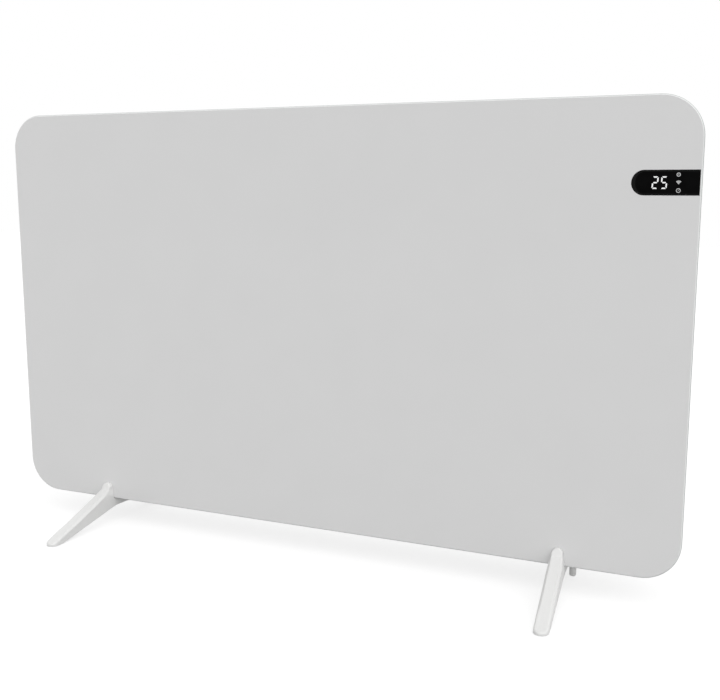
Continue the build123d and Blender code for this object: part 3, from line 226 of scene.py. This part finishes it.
def enamelled_glass():
    """Toughened float glass with white enamel fired on its back: a clean gloss face, with the
    faint wave of the toughening oven every 55 mm, and ground, paler edges."""
    material, tree, shader = begin("enamelled_glass", IOR=1.52)
    low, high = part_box("glass_panel")
    place = add(tree, "ShaderNodeTexCoord").outputs["Object"]
    behind = add(tree, "ShaderNodeSeparateXYZ", links={"Vector": place}).outputs["Y"]
    share = add(tree, "ShaderNodeMapRange", values={"From Min": low.y, "From Max": high.y},
                links={"Value": behind}).outputs[0]
    tone = add(tree, "ShaderNodeValToRGB", links={"Fac": share},
               stops=((0.004, "DCDCDC"), (0.016, "E6E8E7"), (0.12, "E6E8E7"), (0.17, "B0B4B2"),
                      (0.97, "B0B4B2"), (0.99, "DEDEDC")))
    wave = add(tree, "ShaderNodeTexNoise", values={"Scale": PER_METRE / 55.0, "Detail": 1.0},
               links={"Vector": place}).outputs["Fac"]
    veil = add(tree, "ShaderNodeValToRGB", links={"Fac": wave},
               stops=zip(TONE_SPAN, ("FEFEFE", "FFFFFF")))
    shade = add(tree, "ShaderNodeMixRGB", {"blend_type": "MULTIPLY"}, {"Fac": 1.0},
                {"Color1": tone.outputs[0], "Color2": veil.outputs[0]})
    tree.links.new(shade.outputs[0], shader.inputs["Base Color"])
    gloss = add(tree, "ShaderNodeMapRange",
                values={"From Min": 0.01, "From Max": 0.02, "To Min": 0.09, "To Max": 0.30},
                links={"Value": share})
    tree.links.new(gloss.outputs[0], shader.inputs["Roughness"])
    bump = add(tree, "ShaderNodeBump", values={"Strength": 1.0, "Distance": 0.002 * MM},
               links={"Height": wave})
    tree.links.new(bump.outputs[0], shader.inputs["Normal"])
    return material


def smoked_window():
    """Tinted acrylic lens with an anti-glare coat: nearly black, with a hair of waviness from the
    mould."""
    return grained("smoked_window", 9.0, ("050505", "080808"), relief_mm=0.003,
                   relief_grain=(14.0, 1.0), Roughness=0.12, IOR=1.49, Specular_IOR_Level=0.03)


def window_sheen_rim():
    """Painted reflection on the lens: a rim a shade greyer than the window, and flatter, that
    stands in for the sheen of the lens's rounded edge.
    """
    return grained("window_sheen_rim", 0.6, ("121212", "171717"), Roughness=0.42, IOR=1.49,
                   Specular_IOR_Level=0.05)


def silicone_bead():
    """Neutral cure silicone: translucent white, soft sheen, slightly lumpy where it was pressed."""
    return grained("silicone_bead", 4.0, ("D4D4D0", "DEDEDA"), relief_mm=0.15,
                   relief_grain=(3.0, 2.0), Roughness=0.45, IOR=1.41, Subsurface_Weight=0.15,
                   Subsurface_Radius=(0.002, 0.002, 0.002))


def zinc_sheet():
    """Galvanised steel sheet: cool grey metal with faint crystal patches of about 7 mm."""
    material, tree, shader = begin("zinc_sheet", Metallic=1.0)
    place = add(tree, "ShaderNodeTexCoord").outputs["Object"]
    crystals = add(tree, "ShaderNodeTexVoronoi", values={"Scale": PER_METRE / 7.0},
                   links={"Vector": place}).outputs["Color"]
    patch = add(tree, "ShaderNodeRGBToBW", links={"Color": crystals}).outputs[0]
    tone = add(tree, "ShaderNodeValToRGB", links={"Fac": patch},
               stops=((0.2, "A9ADB0"), (0.8, "BCC0C2")))
    tree.links.new(tone.outputs[0], shader.inputs["Base Color"])
    level = add(tree, "ShaderNodeMapRange",
                values={"From Min": ROUGHNESS_SPAN[0], "From Max": ROUGHNESS_SPAN[1],
                        "To Min": 0.34, "To Max": 0.46},
                links={"Value": patch})
    tree.links.new(level.outputs[0], shader.inputs["Roughness"])
    return material


def powder_coat():
    """Polyester powder coat on steel: satin white with the fine orange peel of the baked powder."""
    return grained("powder_coat", 1.1, ("DCDCDA", "E1E1DF"), (0.36, 0.46), 0.035, detail=3.0,
                   IOR=1.5)


def plated_steel():
    """Bright zinc plated screw steel, with fine turning marks."""
    return grained("plated_steel", 0.5, ("B4B6B8", "C6C8C9"), (0.24, 0.38), 0.01,
                   stretch=(1, 1, 6), Metallic=1.0)


def moulded_white():
    """Heat resistant moulded plastic: off white, with a spark eroded grain of about half a
    millimetre."""
    return grained("moulded_white", 0.6, ("D9D9D7", "DFDFDD"), (0.44, 0.56), 0.02, IOR=1.47)


def foot_moulding():
    """Satin moulded plastic of the feet: white and smooth to the eye, with faint flow marks along
    the length and a fine grain."""
    return grained("foot_moulding", 26.0, ("DFDFDE", "E1E1E0"), (0.36, 0.42), 0.008, detail=1.0,
                   stretch=(1, 0.25, 1), relief_grain=(0.8, 2.0), IOR=1.46)


def plunger_moulding():
    """Acetal plunger: slightly waxy light grey, rubbed a little darker where it slides."""
    return grained("plunger_moulding", 2.5, ("F0F0EF", "F4F4F3"), relief_mm=0.01,
                   stretch=(1, 1, 0.2), IOR=1.48, Roughness=0.34)


def rolled_aluminium():
    """Bright rolled aluminium sheet, with rolling lines along its length."""
    return grained("rolled_aluminium", 0.7, ("C9CBCD", "D6D8D9"), (0.22, 0.36), 0.006,
                   stretch=(0.03, 1, 1), Metallic=1.0)


def extruded_aluminium():
    """Extruded aluminium of the element, dulled by heat: matt grey with die lines along it."""
    return grained("extruded_aluminium", 0.9, ("A6A7A7", "B9BABA"), (0.38, 0.52), 0.02,
                   stretch=(0.02, 1, 1), Metallic=1.0)


def glazed_ceramic():
    """Steatite insulator: cream, with a thin glaze and small pits."""
    return grained("glazed_ceramic", 0.9, ("DAD3C4", "E6E0D2"), relief_mm=0.02, IOR=1.55,
                   Roughness=0.22)


def moulded_dark(name, tones, gloss):
    """Moulded electrical plastic with a fine grain: phenolic, housings and component cases."""
    return grained(name, 0.5, tones, (gloss, gloss + 0.1), 0.015, IOR=1.5)


def solder_mask():
    """Green lacquer over glass fibre board: the copper under it shows as slightly lighter bands,
    drawn coarse, 4.5 x 2.25 mm (half and a quarter of the pattern's 9 mm), so that they show."""
    material, tree, shader = begin("solder_mask", IOR=1.5, Roughness=0.3)
    place = add(tree, "ShaderNodeTexCoord").outputs["Object"]
    tracks = add(tree, "ShaderNodeTexBrick",
                 values={"Scale": PER_METRE / 9.0, "Mortar Size": 0.06, "Color1": linear("1F6B3A"),
                         "Color2": linear("236F40"), "Mortar": linear("175230")},
                 links={"Vector": place})
    tree.links.new(tracks.outputs["Color"], shader.inputs["Base Color"])
    return material


def plated_brass():
    """Tinned brass: a warm yellow metal with a brushed look."""
    return grained("plated_brass", 0.6, ("C9A45A", "D8B56C"), (0.25, 0.4), stretch=(1, 5, 1),
                   Metallic=1.0)


def clear_lens():
    """Water clear epoxy of the small lamps, seen as a bright milky block."""
    return grained("clear_lens", 0.8, ("E9EBEB", "F2F3F3"), IOR=1.5, Roughness=0.1)


def ribbon_lead():
    """Flat lead: grey ribbed insulation. Its cores are 1.27 mm apart, and its ribs are drawn 2 pi
    times coarser, because the wave texture has 20 radians in its unit."""
    material, tree, shader = begin("ribbon_lead", IOR=1.5, Roughness=0.5)
    place = add(tree, "ShaderNodeTexCoord").outputs["Object"]
    cores = add(tree, "ShaderNodeTexWave", {"bands_direction": "X", "wave_profile": "SIN"},
                {"Scale": PER_METRE / (1.27 * 20)}, {"Vector": place}).outputs["Fac"]
    tone = add(tree, "ShaderNodeValToRGB", links={"Fac": cores},
               stops=zip(TONE_SPAN, ("8B8D90", "A0A2A4")))
    tree.links.new(tone.outputs[0], shader.inputs["Base Color"])
    bump = add(tree, "ShaderNodeBump", values={"Strength": 1.0, "Distance": 0.15 * MM},
               links={"Height": cores})
    tree.links.new(bump.outputs[0], shader.inputs["Normal"])
    return material


def silicone_wire():
    """Silicone wire sleeve: soft, matt, warm white."""
    return grained("silicone_wire", 1.5, ("CFCBC0", "DAD6CC"), relief_mm=0.02, IOR=1.41,
                   Roughness=0.55)


def spring_steel():
    """Drawn spring steel: bright grey metal with drawing lines."""
    return grained("spring_steel", 0.4, ("9FA1A4", "B3B5B7"), (0.25, 0.4), stretch=(1, 1, 4),
                   Metallic=1.0)


def dark_rubber():
    """Moulded rubber: near black, matt, with a dusty bloom."""
    return grained("dark_rubber", 1.6, ("1E1E1E", "2A2A2A"), (0.7, 0.85), 0.03, detail=3.0,
                   IOR=1.52)


def lamp_light(name, code, level):
    """Light of a display mark through its diffuser: even, a touch brighter in the middle of the
    diffuser's grain of 0.7 mm."""
    material, tree, shader = begin(name, Roughness=0.5, Emission_Strength=level,
                                   Base_Color=linear("202020"))
    place = add(tree, "ShaderNodeTexCoord").outputs["Object"]
    noise = add(tree, "ShaderNodeTexNoise", values={"Scale": PER_METRE / 0.7, "Detail": 2.0},
                links={"Vector": place}).outputs["Fac"]
    glow = add(tree, "ShaderNodeValToRGB", links={"Fac": noise},
               stops=((0.2, code), (1.0, "FFFFFF")))
    tree.links.new(glow.outputs[0], shader.inputs["Emission Color"])
    return material


def switch_print():
    """White pad print on the rocker, slightly worn."""
    return grained("switch_print", 0.5, ("C9C9C9", "E4E4E4"), IOR=1.5, Roughness=0.5)


FINISHES = {
    "white_glass": enamelled_glass(),
    "dark_window": smoked_window(),
    "silicone": silicone_bead(),
    "zinc_steel": zinc_sheet(),
    "white_steel": powder_coat(),
    "screw_steel": plated_steel(),
    "white_plastic": moulded_white(),
    "foot_plastic": foot_moulding(),
    "plunger_plastic": plunger_moulding(),
    "bright_aluminium": rolled_aluminium(),
    "fin_aluminium": extruded_aluminium(),
    "ceramic": glazed_ceramic(),
    "dark_plastic": moulded_dark("dark_phenolic", ("1C1B1A", "262524"), 0.4),
    "black_plastic": moulded_dark("black_moulding", ("131313", "1C1C1C"), 0.34),
    "board_green": solder_mask(),
    "relay_blue": moulded_dark("relay_case", ("1C4F9A", "2458A4"), 0.22),
    "brass": plated_brass(),
    "led_white": clear_lens(),
    "lead_grey": ribbon_lead(),
    "wire_silicone": silicone_wire(),
    "spring_steel": spring_steel(),
    "dark_rubber": dark_rubber(),
}


def dress_nodes():
    """Gives every CAD node the finish of its slot in the record."""
    slots = {part["node"]: part["material_slot"] for part in frame["record"]["subparts"]}
    for name, node in nodes.items():
        node.data.materials.clear()
        node.data.materials.append(FINISHES[slots[name]])


# ---------------------------------------------------------------- shapes
def on_front(y, depth):
    """Puts (x, z) points on an upright face at y, or depth in front of it."""
    return lambda point, level: (point[0], y - level * depth, point[1])


def plate(shape, outline, place):
    """Adds a flat mark, as one closed solid, from a ring of points; place(point, level) puts a
    point in space, level 0 at the back and 1 at the front."""
    front = [shape.verts.new(place(point, 1)) for point in outline]
    back = [shape.verts.new(place(point, 0)) for point in outline]
    shape.faces.new(front)
    shape.faces.new(back[::-1])
    for i in range(len(outline)):
        j = (i + 1) % len(outline)
        shape.faces.new((front[j], front[i], back[i], back[j]))


def band(shape, outer, inner, place, closed):
    """Adds a flat band between two lines of points, as one closed solid, placed as a plate is."""
    rows = [[shape.verts.new(place(point, level)) for point in line]
            for line, level in ((outer, 1), (inner, 1), (inner, 0), (outer, 0))]
    last = len(outer)
    for i in range(last if closed else last - 1):
        j = (i + 1) % last
        for one, two in zip(rows, rows[1:] + rows[:1]):
            shape.faces.new((one[i], one[j], two[j], two[i]))
    if not closed:
        for i in (0, last - 1):
            shape.faces.new([row[i] for row in rows])


def arc(centre, radii, start, end, step=10.0):
    """Points on a part of an ellipse, between two angles."""
    count = max(4, math.ceil((end - start) / step))
    angles = [math.radians(start + (end - start) * i / count) for i in range(count + 1)]
    return [(centre[0] + radii[0] * math.cos(angle), centre[1] + radii[1] * math.sin(angle))
            for angle in angles]


def round_mark(shape, centre, inner, outer, start, end, place):
    """Adds a ring, a part of one, a disc or a sector."""
    closed = end - start == 360
    rim = arc(centre, (outer, outer), start, end)
    if closed:
        rim.pop()
    if inner:
        hole = arc(centre, (inner, inner), start, end)
        band(shape, rim, hole[:len(rim)], place, closed)
    else:
        plate(shape, rim if closed else rim + [centre], place)


def keep(shape, name, material, body):
    """Makes an object of a shape, with its faces outwards, and lets it ride on a body."""
    bmesh.ops.recalc_face_normals(shape, faces=shape.faces)
    mesh = bpy.data.meshes.new(name)
    shape.to_mesh(mesh)
    shape.free()
    mesh.materials.append(material)
    piece = bpy.data.objects.new(name, mesh)
    bpy.context.scene.collection.objects.link(piece)
    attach(piece, body)
    return piece


# ---------------------------------------------------------------- display
def segment_shapes():
    """The seven mitred segments about the digit's middle, before its slant."""
    w, h, s, g = DIGIT_WIDTH / 2, DIGIT_HEIGHT / 2, DIGIT_STROKE / 2, SEGMENT_GAP
    shapes = {"middle": [(-w + g, 0), (-w + s + g, s), (w - s - g, s), (w - g, 0),
                         (w - s - g, -s), (-w + s + g, -s)]}
    for upright, end in (("lower", -1), ("upper", 1)):
        edge, back = end * h + end * s, end * h - end * s
        shapes["bottom" if end < 0 else "top"] = [(-w - s + 2 * g, edge), (w + s - 2 * g, edge),
                                                  (w - s - g, back), (-w + s + g, back)]
        for name, side in (("left", -1), ("right", 1)):
            far, near = side * w + side * s, side * w - side * s
            shapes[f"{upright}_{name}"] = [
                (far, end * (h + s - 2 * g)), (near, end * (h - s - g)), (near, end * (s + g)),
                (side * w, end * g * SEGMENT_POINT), (far, end * (s + g))]
    return shapes


def display():
    """Lit temperature digits, three small signs and the lighter rim on the window, a painted
    reflection of its rounded edge.
    """
    low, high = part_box("display_window")
    middle = (low.z + high.z) / 2
    place = on_front(low.y, PRINT)
    shapes = segment_shapes()
    marks = bmesh.new()
    for side, names in LIT_SEGMENTS:
        x = high.x - DIGITS_INSET + side * DIGIT_PITCH / 2
        for name in names:
            outline = [(x + px + pz * DIGIT_SLANT, middle + pz) for px, pz in shapes[name]]
            plate(marks, outline, place)
    light = lamp_light("digit_light", "F4F6F6", DIGIT_LEVEL)
    keep(marks, "display_digits", light, "heater")

    marks = bmesh.new()
    for sign, inner, outer, start, end in SIGN_PARTS:
        centre = (high.x - SIGN_INSETS[sign], middle + SIGN_RISES[sign])
        round_mark(marks, centre, inner * MM, outer * MM, start, end, place)
    light = lamp_light("sign_light", "989A9A", SIGN_LEVEL)
    keep(marks, "display_signs", light, "heater")
    window_rim(low, high)


def window_rim(low, high):
    """Lighter rim round the window, inside its outline, a painted reflection of the lens's rounded
    edge: two straight runs joined by a wider half round."""
    radius = (high.z - low.z) / 2
    centre = (low.x + radius, (low.z + high.z) / 2)
    lines = []
    for radii, rim in (((radius, radius), 0), ((radius - RIM_LEFT, radius - RIM), RIM)):
        lines.append([(high.x, high.z - rim)] + arc(centre, radii, 90, 270, 5.0)
                     + [(high.x, low.z + rim)])
    # Painted reflection: the lighter rim stands in for the sheen of the lens's rounded edge.
    sheen_band = bmesh.new()
    band(sheen_band, *lines, on_front(low.y, PRINT / 2), False)
    keep(sheen_band, "window_sheen_rim", window_sheen_rim(), "heater")


# ---------------------------------------------------------------- rocker and gland
def rocker_marks():
    """On and off signs printed on the rocker's two flats: a stroke on the upper one and a ring on
    the lower one."""
    low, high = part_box("power_rocker")
    flats = {}
    for face in nodes["power_rocker"].data.polygons:
        if face.normal.x > FACES_OUT:
            flats.setdefault(round(face.normal.z, 2), []).append(face)
    flats = sorted(flats.values(), key=lambda group: sum(face.area for face in group))[-2:]
    tall, thin = MARK_HEIGHT / 2, MARK_STROKE / 2
    across = Vector((0, 1, 0))
    marks = bmesh.new()
    for group in flats:
        area = sum(face.area for face in group)
        middle = sum((face.center * face.area for face in group), Vector()) / area
        out = group[0].normal.copy()
        up = out.cross(across)

        def place(point, level, middle=middle, out=out, up=up):
            return middle + across * point[0] + up * point[1] + out * (level * PRINT)

        if middle.z > (low.z + high.z) / 2:
            plate(marks, [(-thin, -tall), (thin, -tall), (thin, tall), (-thin, tall)], place)
        else:
            round_mark(marks, (0, 0), tall - MARK_STROKE, tall, 0, 360, place)
    keep(marks, "rocker_marks", switch_print(), "rocker")


def gland_grip():
    """Grip ribs moulded round the gland's dome."""
    low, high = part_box("cable_gland")
    centre_x, centre_z = (low.x + high.x) / 2, (low.z + high.z) / 2
    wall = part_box("rear_cover")[1].y
    points = [vert.co for vert in nodes["cable_gland"].data.vertices]
    start = min(round(point.y, 5) for point in points if point.y > wall + MM)
    radius = max(math.hypot(point.x - centre_x, point.z - centre_z) for point in points
                 if point.y > start + MM)
    corners = [(-1, 0), (1, 0), (GRIP_TOP, 1 + GRIP_SUNK), (-GRIP_TOP, 1 + GRIP_SUNK)]
    grip = bmesh.new()
    for i in range(GRIP_RIBS):
        turn = 2 * math.pi * i / GRIP_RIBS
        out = Vector((math.cos(turn), 0, math.sin(turn)))
        side = Vector((-math.sin(turn), 0, math.cos(turn)))
        base = Vector((centre_x, 0, centre_z)) + out * (radius - GRIP_HEIGHT * GRIP_SUNK)

        def place(point, level, base=base, out=out, side=side):
            along = Vector((0, start + GRIP_SPAN[level], 0))
            return (base + side * (point[0] * GRIP_WIDTH / 2) + out * (point[1] * GRIP_HEIGHT)
                    + along)

        plate(grip, corners, place)
    keep(grip, "gland_grip", FINISHES["white_plastic"], "heater")


# ---------------------------------------------------------------- feet
def eased(value, span):
    """0 before the span, 1 after it, and a smooth step between."""
    share = min(1, max(0, (value - span[0]) / (span[1] - span[0])))
    return share * share * (3 - 2 * share)


def drawn_in(across, height):
    """Place of a point of the lip, seen from the front, once the lip has drawn in to little more
    than the width of the flat front."""
    squeeze = 1 - (1 - LIP_SQUEEZE) * eased(height, LIP_RANGE)
    rise = max(0, height - LIP_ROUND)
    reach = math.hypot(across, rise)
    if reach <= STRIP_HALF:
        return across, height
    scale = (STRIP_HALF + (reach - STRIP_HALF) * squeeze) / reach
    return across * scale, height + rise * (scale - 1)


def to_bevel(out, behind, height):
    """How far a point of the rounding goes inwards to lie on the bevel; out is its distance from
    the middle of the flat front, and behind from the glass's face."""
    if not (STRIP_HALF < out < STRIP_HALF + EDGE and BEVEL_START[0] < behind < BEVEL_END[1]):
        return 0
    slope = math.radians(SLOPE)
    deep = (behind - SHOULDER[0]) * math.sin(slope) - (height - SHOULDER[1]) * math.cos(slope)
    if deep >= EDGE:
        return 0
    share = eased(behind, BEVEL_START) * (1 - eased(behind, BEVEL_END))
    return (out - STRIP_HALF - deep) * share


def cut_into_rows(shape, face):
    """Merges a foot's loose triangles to flat faces, and cuts its lip and its leg into rows."""
    bmesh.ops.remove_doubles(shape, verts=shape.verts, dist=MERGE)
    bmesh.ops.dissolve_limit(shape, angle_limit=math.radians(FLAT_BELOW), verts=shape.verts,
                             edges=shape.edges)
    cuts = [((0, 0, height), (0, 0, 1)) for height in LIP_CUTS]
    cuts += [((0, face - ahead, 0), (0, 1, 0)) for ahead in LEG_CUTS]
    for place, way in cuts:
        bmesh.ops.bisect_plane(shape, geom=shape.verts[:] + shape.edges[:] + shape.faces[:],
                               dist=MERGE, plane_co=place, plane_no=way)
    bmesh.ops.dissolve_degenerate(shape, dist=SLIVER, edges=shape.edges)


def slim_feet():
    """The feet in place of the plain ones, with a bevel on each side of the flat front, and a lip
    that draws in above the edge of the glass."""
    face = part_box("glass_panel")[0].y
    slope = math.radians(SLOPE)
    for node, side in (("foot_left", -1), ("foot_right", 1)):
        low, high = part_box(node)
        middle = (low + high) / 2
        turn = math.radians(FOOT_TURN) * side
        across = Vector((math.cos(turn), math.sin(turn), 0))
        along = Vector((-math.sin(turn), math.cos(turn), 0))
        inward = along * math.sin(slope) - Vector((0, 0, math.cos(slope)))
        reach = (face - middle.y) / math.cos(turn)
        shape = bmesh.new()
        shape.from_mesh(nodes[node].data)
        cut_into_rows(shape, face)
        for vert in shape.verts:
            out = abs((vert.co - middle).dot(across))
            behind = (vert.co - middle).dot(along) - reach
            vert.co += inward * to_bevel(out, behind, vert.co.z)
        for vert in shape.verts:
            if vert.co.y < face and vert.co.z > LIP_RANGE[0]:
                out = (vert.co - middle).dot(across)
                new_out, vert.co.z = drawn_in(out, vert.co.z)
                vert.co += across * (new_out - out)
        foot = keep(shape, node + "_moulding", FINISHES["foot_plastic"], "heater")
        foot.data.shade_smooth()
        foot.data.set_sharp_from_angle(angle=math.radians(SMOOTH_BELOW))
        flats = foot.modifiers.new("level_flats", "WEIGHTED_NORMAL")
        flats.keep_sharp, flats.weight = True, 100
        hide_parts(node)


# ---------------------------------------------------------------- screws
def screw_tree(name):
    """Geometry Nodes: a pan head screw with a cross recess on every point, its shank along the
    point's 'inward' vector."""
    tree = bpy.data.node_groups.new(name, "GeometryNodeTree")
    face = tree.interface
    face.new_socket("Geometry", in_out="INPUT", socket_type="NodeSocketGeometry")
    for label in COVER_SCREW:
        face.new_socket(label, in_out="INPUT", socket_type="NodeSocketFloat")
    face.new_socket("Finish", in_out="INPUT", socket_type="NodeSocketMaterial")
    face.new_socket("Geometry", in_out="OUTPUT", socket_type="NodeSocketGeometry")
    given = add(tree, "NodeGroupInput").outputs
    radius, height, thin, length = (given[label] for label in COVER_SCREW)
    shares = {"skirt": (height, SKIRT_HEIGHT), "skirt start": (height, -SKIRT_HEIGHT),
              "crown": (height, CROWN_HEIGHT), "top": (height, -1), "lid": (radius, CROWN_RADIUS),
              "arm": (radius, CROSS_LENGTH), "slit": (radius, CROSS_WIDTH),
              "deep": (height, CROSS_HEIGHT)}
    sizes = {label: add(tree, "ShaderNodeMath", {"operation": "MULTIPLY"}, {1: share},
                        {0: whole}).outputs[0] for label, (whole, share) in shares.items()}

    joined = add(tree, "GeometryNodeMeshBoolean", {"operation": "UNION", "solver": "EXACT"})
    cut = add(tree, "GeometryNodeMeshBoolean", {"operation": "DIFFERENCE", "solver": "EXACT"},
              links={"Mesh 1": joined.outputs[0]})
    solids = []                   # each with its place along +Z and the boolean that it goes into
    for bottom, top, depth, start, sides in (
            (radius, radius, sizes["skirt"], sizes["skirt start"], HEAD_SIDES),
            (sizes["lid"], radius, sizes["crown"], sizes["top"], HEAD_SIDES),
            (thin, thin, length, None, SHANK_SIDES)):
        cone = add(tree, "GeometryNodeMeshCone", values={"Vertices": sides},
                   links={"Radius Top": top, "Radius Bottom": bottom, "Depth": depth})
        solids.append((cone, start, joined))
    for across, along in (("arm", "slit"), ("slit", "arm")):
        size = add(tree, "ShaderNodeCombineXYZ",
                   links={"X": sizes[across], "Y": sizes[along], "Z": sizes["deep"]})
        bar = add(tree, "GeometryNodeMeshCube", links={"Size": size.outputs[0]})
        solids.append((bar, sizes["top"], cut))
    for solid, start, into in solids:
        lift = add(tree, "ShaderNodeCombineXYZ", links={"Z": start} if start else None)
        moved = add(tree, "GeometryNodeTransform",
                    links={"Geometry": solid.outputs["Mesh"], "Translation": lift.outputs[0]})
        tree.links.new(moved.outputs[0], into.inputs["Mesh 2"])

    inward = add(tree, "GeometryNodeInputNamedAttribute", {"data_type": "FLOAT_VECTOR"},
                 {"Name": "inward"})
    turn = add(tree, "FunctionNodeAlignRotationToVector", {"axis": "Z"},
               links={"Vector": inward.outputs[0]})
    placed = add(tree, "GeometryNodeInstanceOnPoints",
                 links={"Points": given["Geometry"], "Instance": cut.outputs[0],
                        "Rotation": turn.outputs[0]})
    real = add(tree, "GeometryNodeRealizeInstances", links={"Geometry": placed.outputs[0]})
    done = add(tree, "GeometryNodeSetMaterial",
               links={"Geometry": real.outputs[0], "Material": given["Finish"]})
    add(tree, "NodeGroupOutput", links={"Geometry": done.outputs[0]})
    return tree


def made_by_nodes(name, tree, points, inward, values):
    """Runs a Geometry Nodes tree over points once and keeps the result as a plain mesh object."""
    mesh = bpy.data.meshes.new(name)
    mesh.from_pydata(points, [], [])
    way = mesh.attributes.new("inward", "FLOAT_VECTOR", "POINT")
    for i, vector in enumerate(inward):
        way.data[i].vector = vector
    source = bpy.data.objects.new(name, mesh)
    bpy.context.scene.collection.objects.link(source)
    modifier = source.modifiers.new("repeat", "NODES")
    modifier.node_group = tree
    sockets = {item.name: item.identifier for item in tree.interface.items_tree
               if item.in_out == "INPUT"}
    for label, value in values.items():
        modifier[sockets[label]] = value
    bpy.context.view_layer.update()
    ready = source.evaluated_get(bpy.context.evaluated_depsgraph_get())
    result = bpy.data.meshes.new_from_object(ready)
    source.modifiers.remove(modifier)
    source.data = result
    return source


def solid_boxes(node):
    """Lowest and highest corners of each loose solid of a CAD node."""
    shape = bmesh.new()
    shape.from_mesh(nodes[node].data)
    bmesh.ops.remove_doubles(shape, verts=shape.verts, dist=MERGE)
    found, boxes = set(), []
    for first in shape.verts:
        if first in found:
            continue
        found.add(first)
        solid = [first]
        for vert in solid:        # the list grows while it is read
            for edge in vert.link_edges:
                other = edge.other_vert(vert)
                if other not in found:
                    found.add(other)
                    solid.append(other)
        boxes.append([Vector([pick(vert.co[i] for vert in solid) for i in range(3)])
                      for pick in (min, max)])
    shape.free()
    return boxes


def screws():
    """Pan head screws in place of the plain ones: those of the cover, and those under the feet."""
    body_low, body_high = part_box("rear_cover")
    cover = []                    # point under each head, and the way its shank goes
    for low, high in solid_boxes("cover_screws"):
        middle = (low + high) / 2
        if high.z > body_high.z:
            cover.append(((middle.x, middle.y, body_high.z), (0, 0, -1)))
        elif low.z < body_low.z:
            cover.append(((middle.x, middle.y, body_low.z), (0, 0, 1)))
        else:
            side = 1 if middle.x > 0 else -1
            cover.append(((side * body_high.x, middle.y, middle.z), (-side, 0, 0)))
    feet = [(((low.x + high.x) / 2, (low.y + high.y) / 2, low.z + FOOT_SCREW["Head height"]),
             (0, 0, 1)) for low, high in solid_boxes("foot_screws")]
    tree = screw_tree("cross_recess_screws")
    for name, node, spots, sizes in (("cover_pan_screws", "cover_screws", cover, COVER_SCREW),
                                     ("foot_pan_screws", "foot_screws", feet, FOOT_SCREW)):
        piece = made_by_nodes(name, tree, [point for point, way in spots],
                              [way for point, way in spots],
                              {**sizes, "Finish": FINISHES["screw_steel"]})
        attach(piece, "heater")
        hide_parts(node)


# ---------------------------------------------------------------- stage
def camera():
    """The camera that took the photograph."""
    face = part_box("glass_panel")[0].y
    lens = bpy.data.cameras.new("camera")
    lens.sensor_width = SENSOR_WIDTH_MM
    lens.lens = FOCAL_PX / PICTURE_WIDTH_PX * SENSOR_WIDTH_MM
    lens.clip_start, lens.clip_end = CAMERA_CLIP
    eye = bpy.data.objects.new("camera", lens)
    eye.location = (CAMERA_RIGHT, face - CAMERA_IN_FRONT, CAMERA_HEIGHT)
    eye.rotation_euler = (math.radians(90 - CAMERA_DOWN), 0, math.radians(CAMERA_AZIMUTH))
    bpy.context.scene.collection.objects.link(eye)
    bpy.context.scene.camera = eye


def seen_directly(tree):
    """1 for rays that come from the camera, a mirror or a clear piece, and 0 for the rays that
    light things."""
    path = add(tree, "ShaderNodeLightPath").outputs
    pair = add(tree, "ShaderNodeMath", {"operation": "MAXIMUM"},
               links={0: path["Is Camera Ray"], 1: path["Is Glossy Ray"]}).outputs[0]
    return add(tree, "ShaderNodeMath", {"operation": "MAXIMUM"},
               links={0: pair, 1: path["Is Transmission Ray"]}).outputs[0]


def pale_paper():
    """Seamless white paper: flat and matt, with a fibre of 3 mm; a little glow for the camera
    makes it the white of the backdrop."""
    material, tree, shader = begin("pale_paper", Roughness=0.9, IOR=1.3,
                                   Emission_Color=(1, 1, 1, 1))
    place = add(tree, "ShaderNodeTexCoord").outputs["Object"]
    noise = add(tree, "ShaderNodeTexNoise", values={"Scale": PER_METRE / 3.0, "Detail": 2.0},
                links={"Vector": place}).outputs["Fac"]
    tone = add(tree, "ShaderNodeValToRGB", links={"Fac": noise},
               stops=zip(TONE_SPAN, ("9C9C9C", "9F9F9F")))
    tree.links.new(tone.outputs[0], shader.inputs["Base Color"])
    glow = add(tree, "ShaderNodeMapRange", values={"To Max": FLOOR_GLOW},
               links={"Value": seen_directly(tree)})
    tree.links.new(glow.outputs[0], shader.inputs["Emission Strength"])
    return material


def studio():
    """White sweep: a pale floor that keeps the shadow, an even sky and one broad soft lamp from
    above."""
    scene = bpy.context.scene
    scene.view_settings.view_transform = "Standard"
    world = bpy.data.worlds.new("studio")
    scene.world = world
    world.use_nodes = True
    tree = world.node_tree
    tree.nodes.clear()
    level = add(tree, "ShaderNodeMapRange", values={"To Min": SKY_LEVEL, "To Max": 1.0},
                links={"Value": seen_directly(tree)})
    sky = add(tree, "ShaderNodeBackground", values={"Color": (1, 1, 1, 1)},
              links={"Strength": level.outputs[0]})
    add(tree, "ShaderNodeOutputWorld", links={"Surface": sky.outputs[0]})

    lamp = bpy.data.lights.new("soft_lamp", "SUN")
    lamp.energy = SUN_LEVEL
    lamp.angle = math.radians(SUN_SPREAD)
    sun = bpy.data.objects.new("soft_lamp", lamp)
    sun.rotation_mode = "QUATERNION"
    sun.rotation_quaternion = Vector(SUN_FROM).to_track_quat("Z", "Y")
    scene.collection.objects.link(sun)

    mesh = bpy.data.meshes.new("floor")
    corners = [(x * FLOOR_HALF, y * FLOOR_HALF, 0) for x, y in ((-1, -1), (1, -1), (1, 1), (-1, 1))]
    mesh.from_pydata(corners, [], [(0, 1, 2, 3)])
    floor = bpy.data.objects.new("floor", mesh)
    scene.collection.objects.link(floor)
    mesh.materials.append(pale_paper())


camera()
studio()
dress_nodes()
display()
rocker_marks()
gland_grip()
slim_feet()
screws()
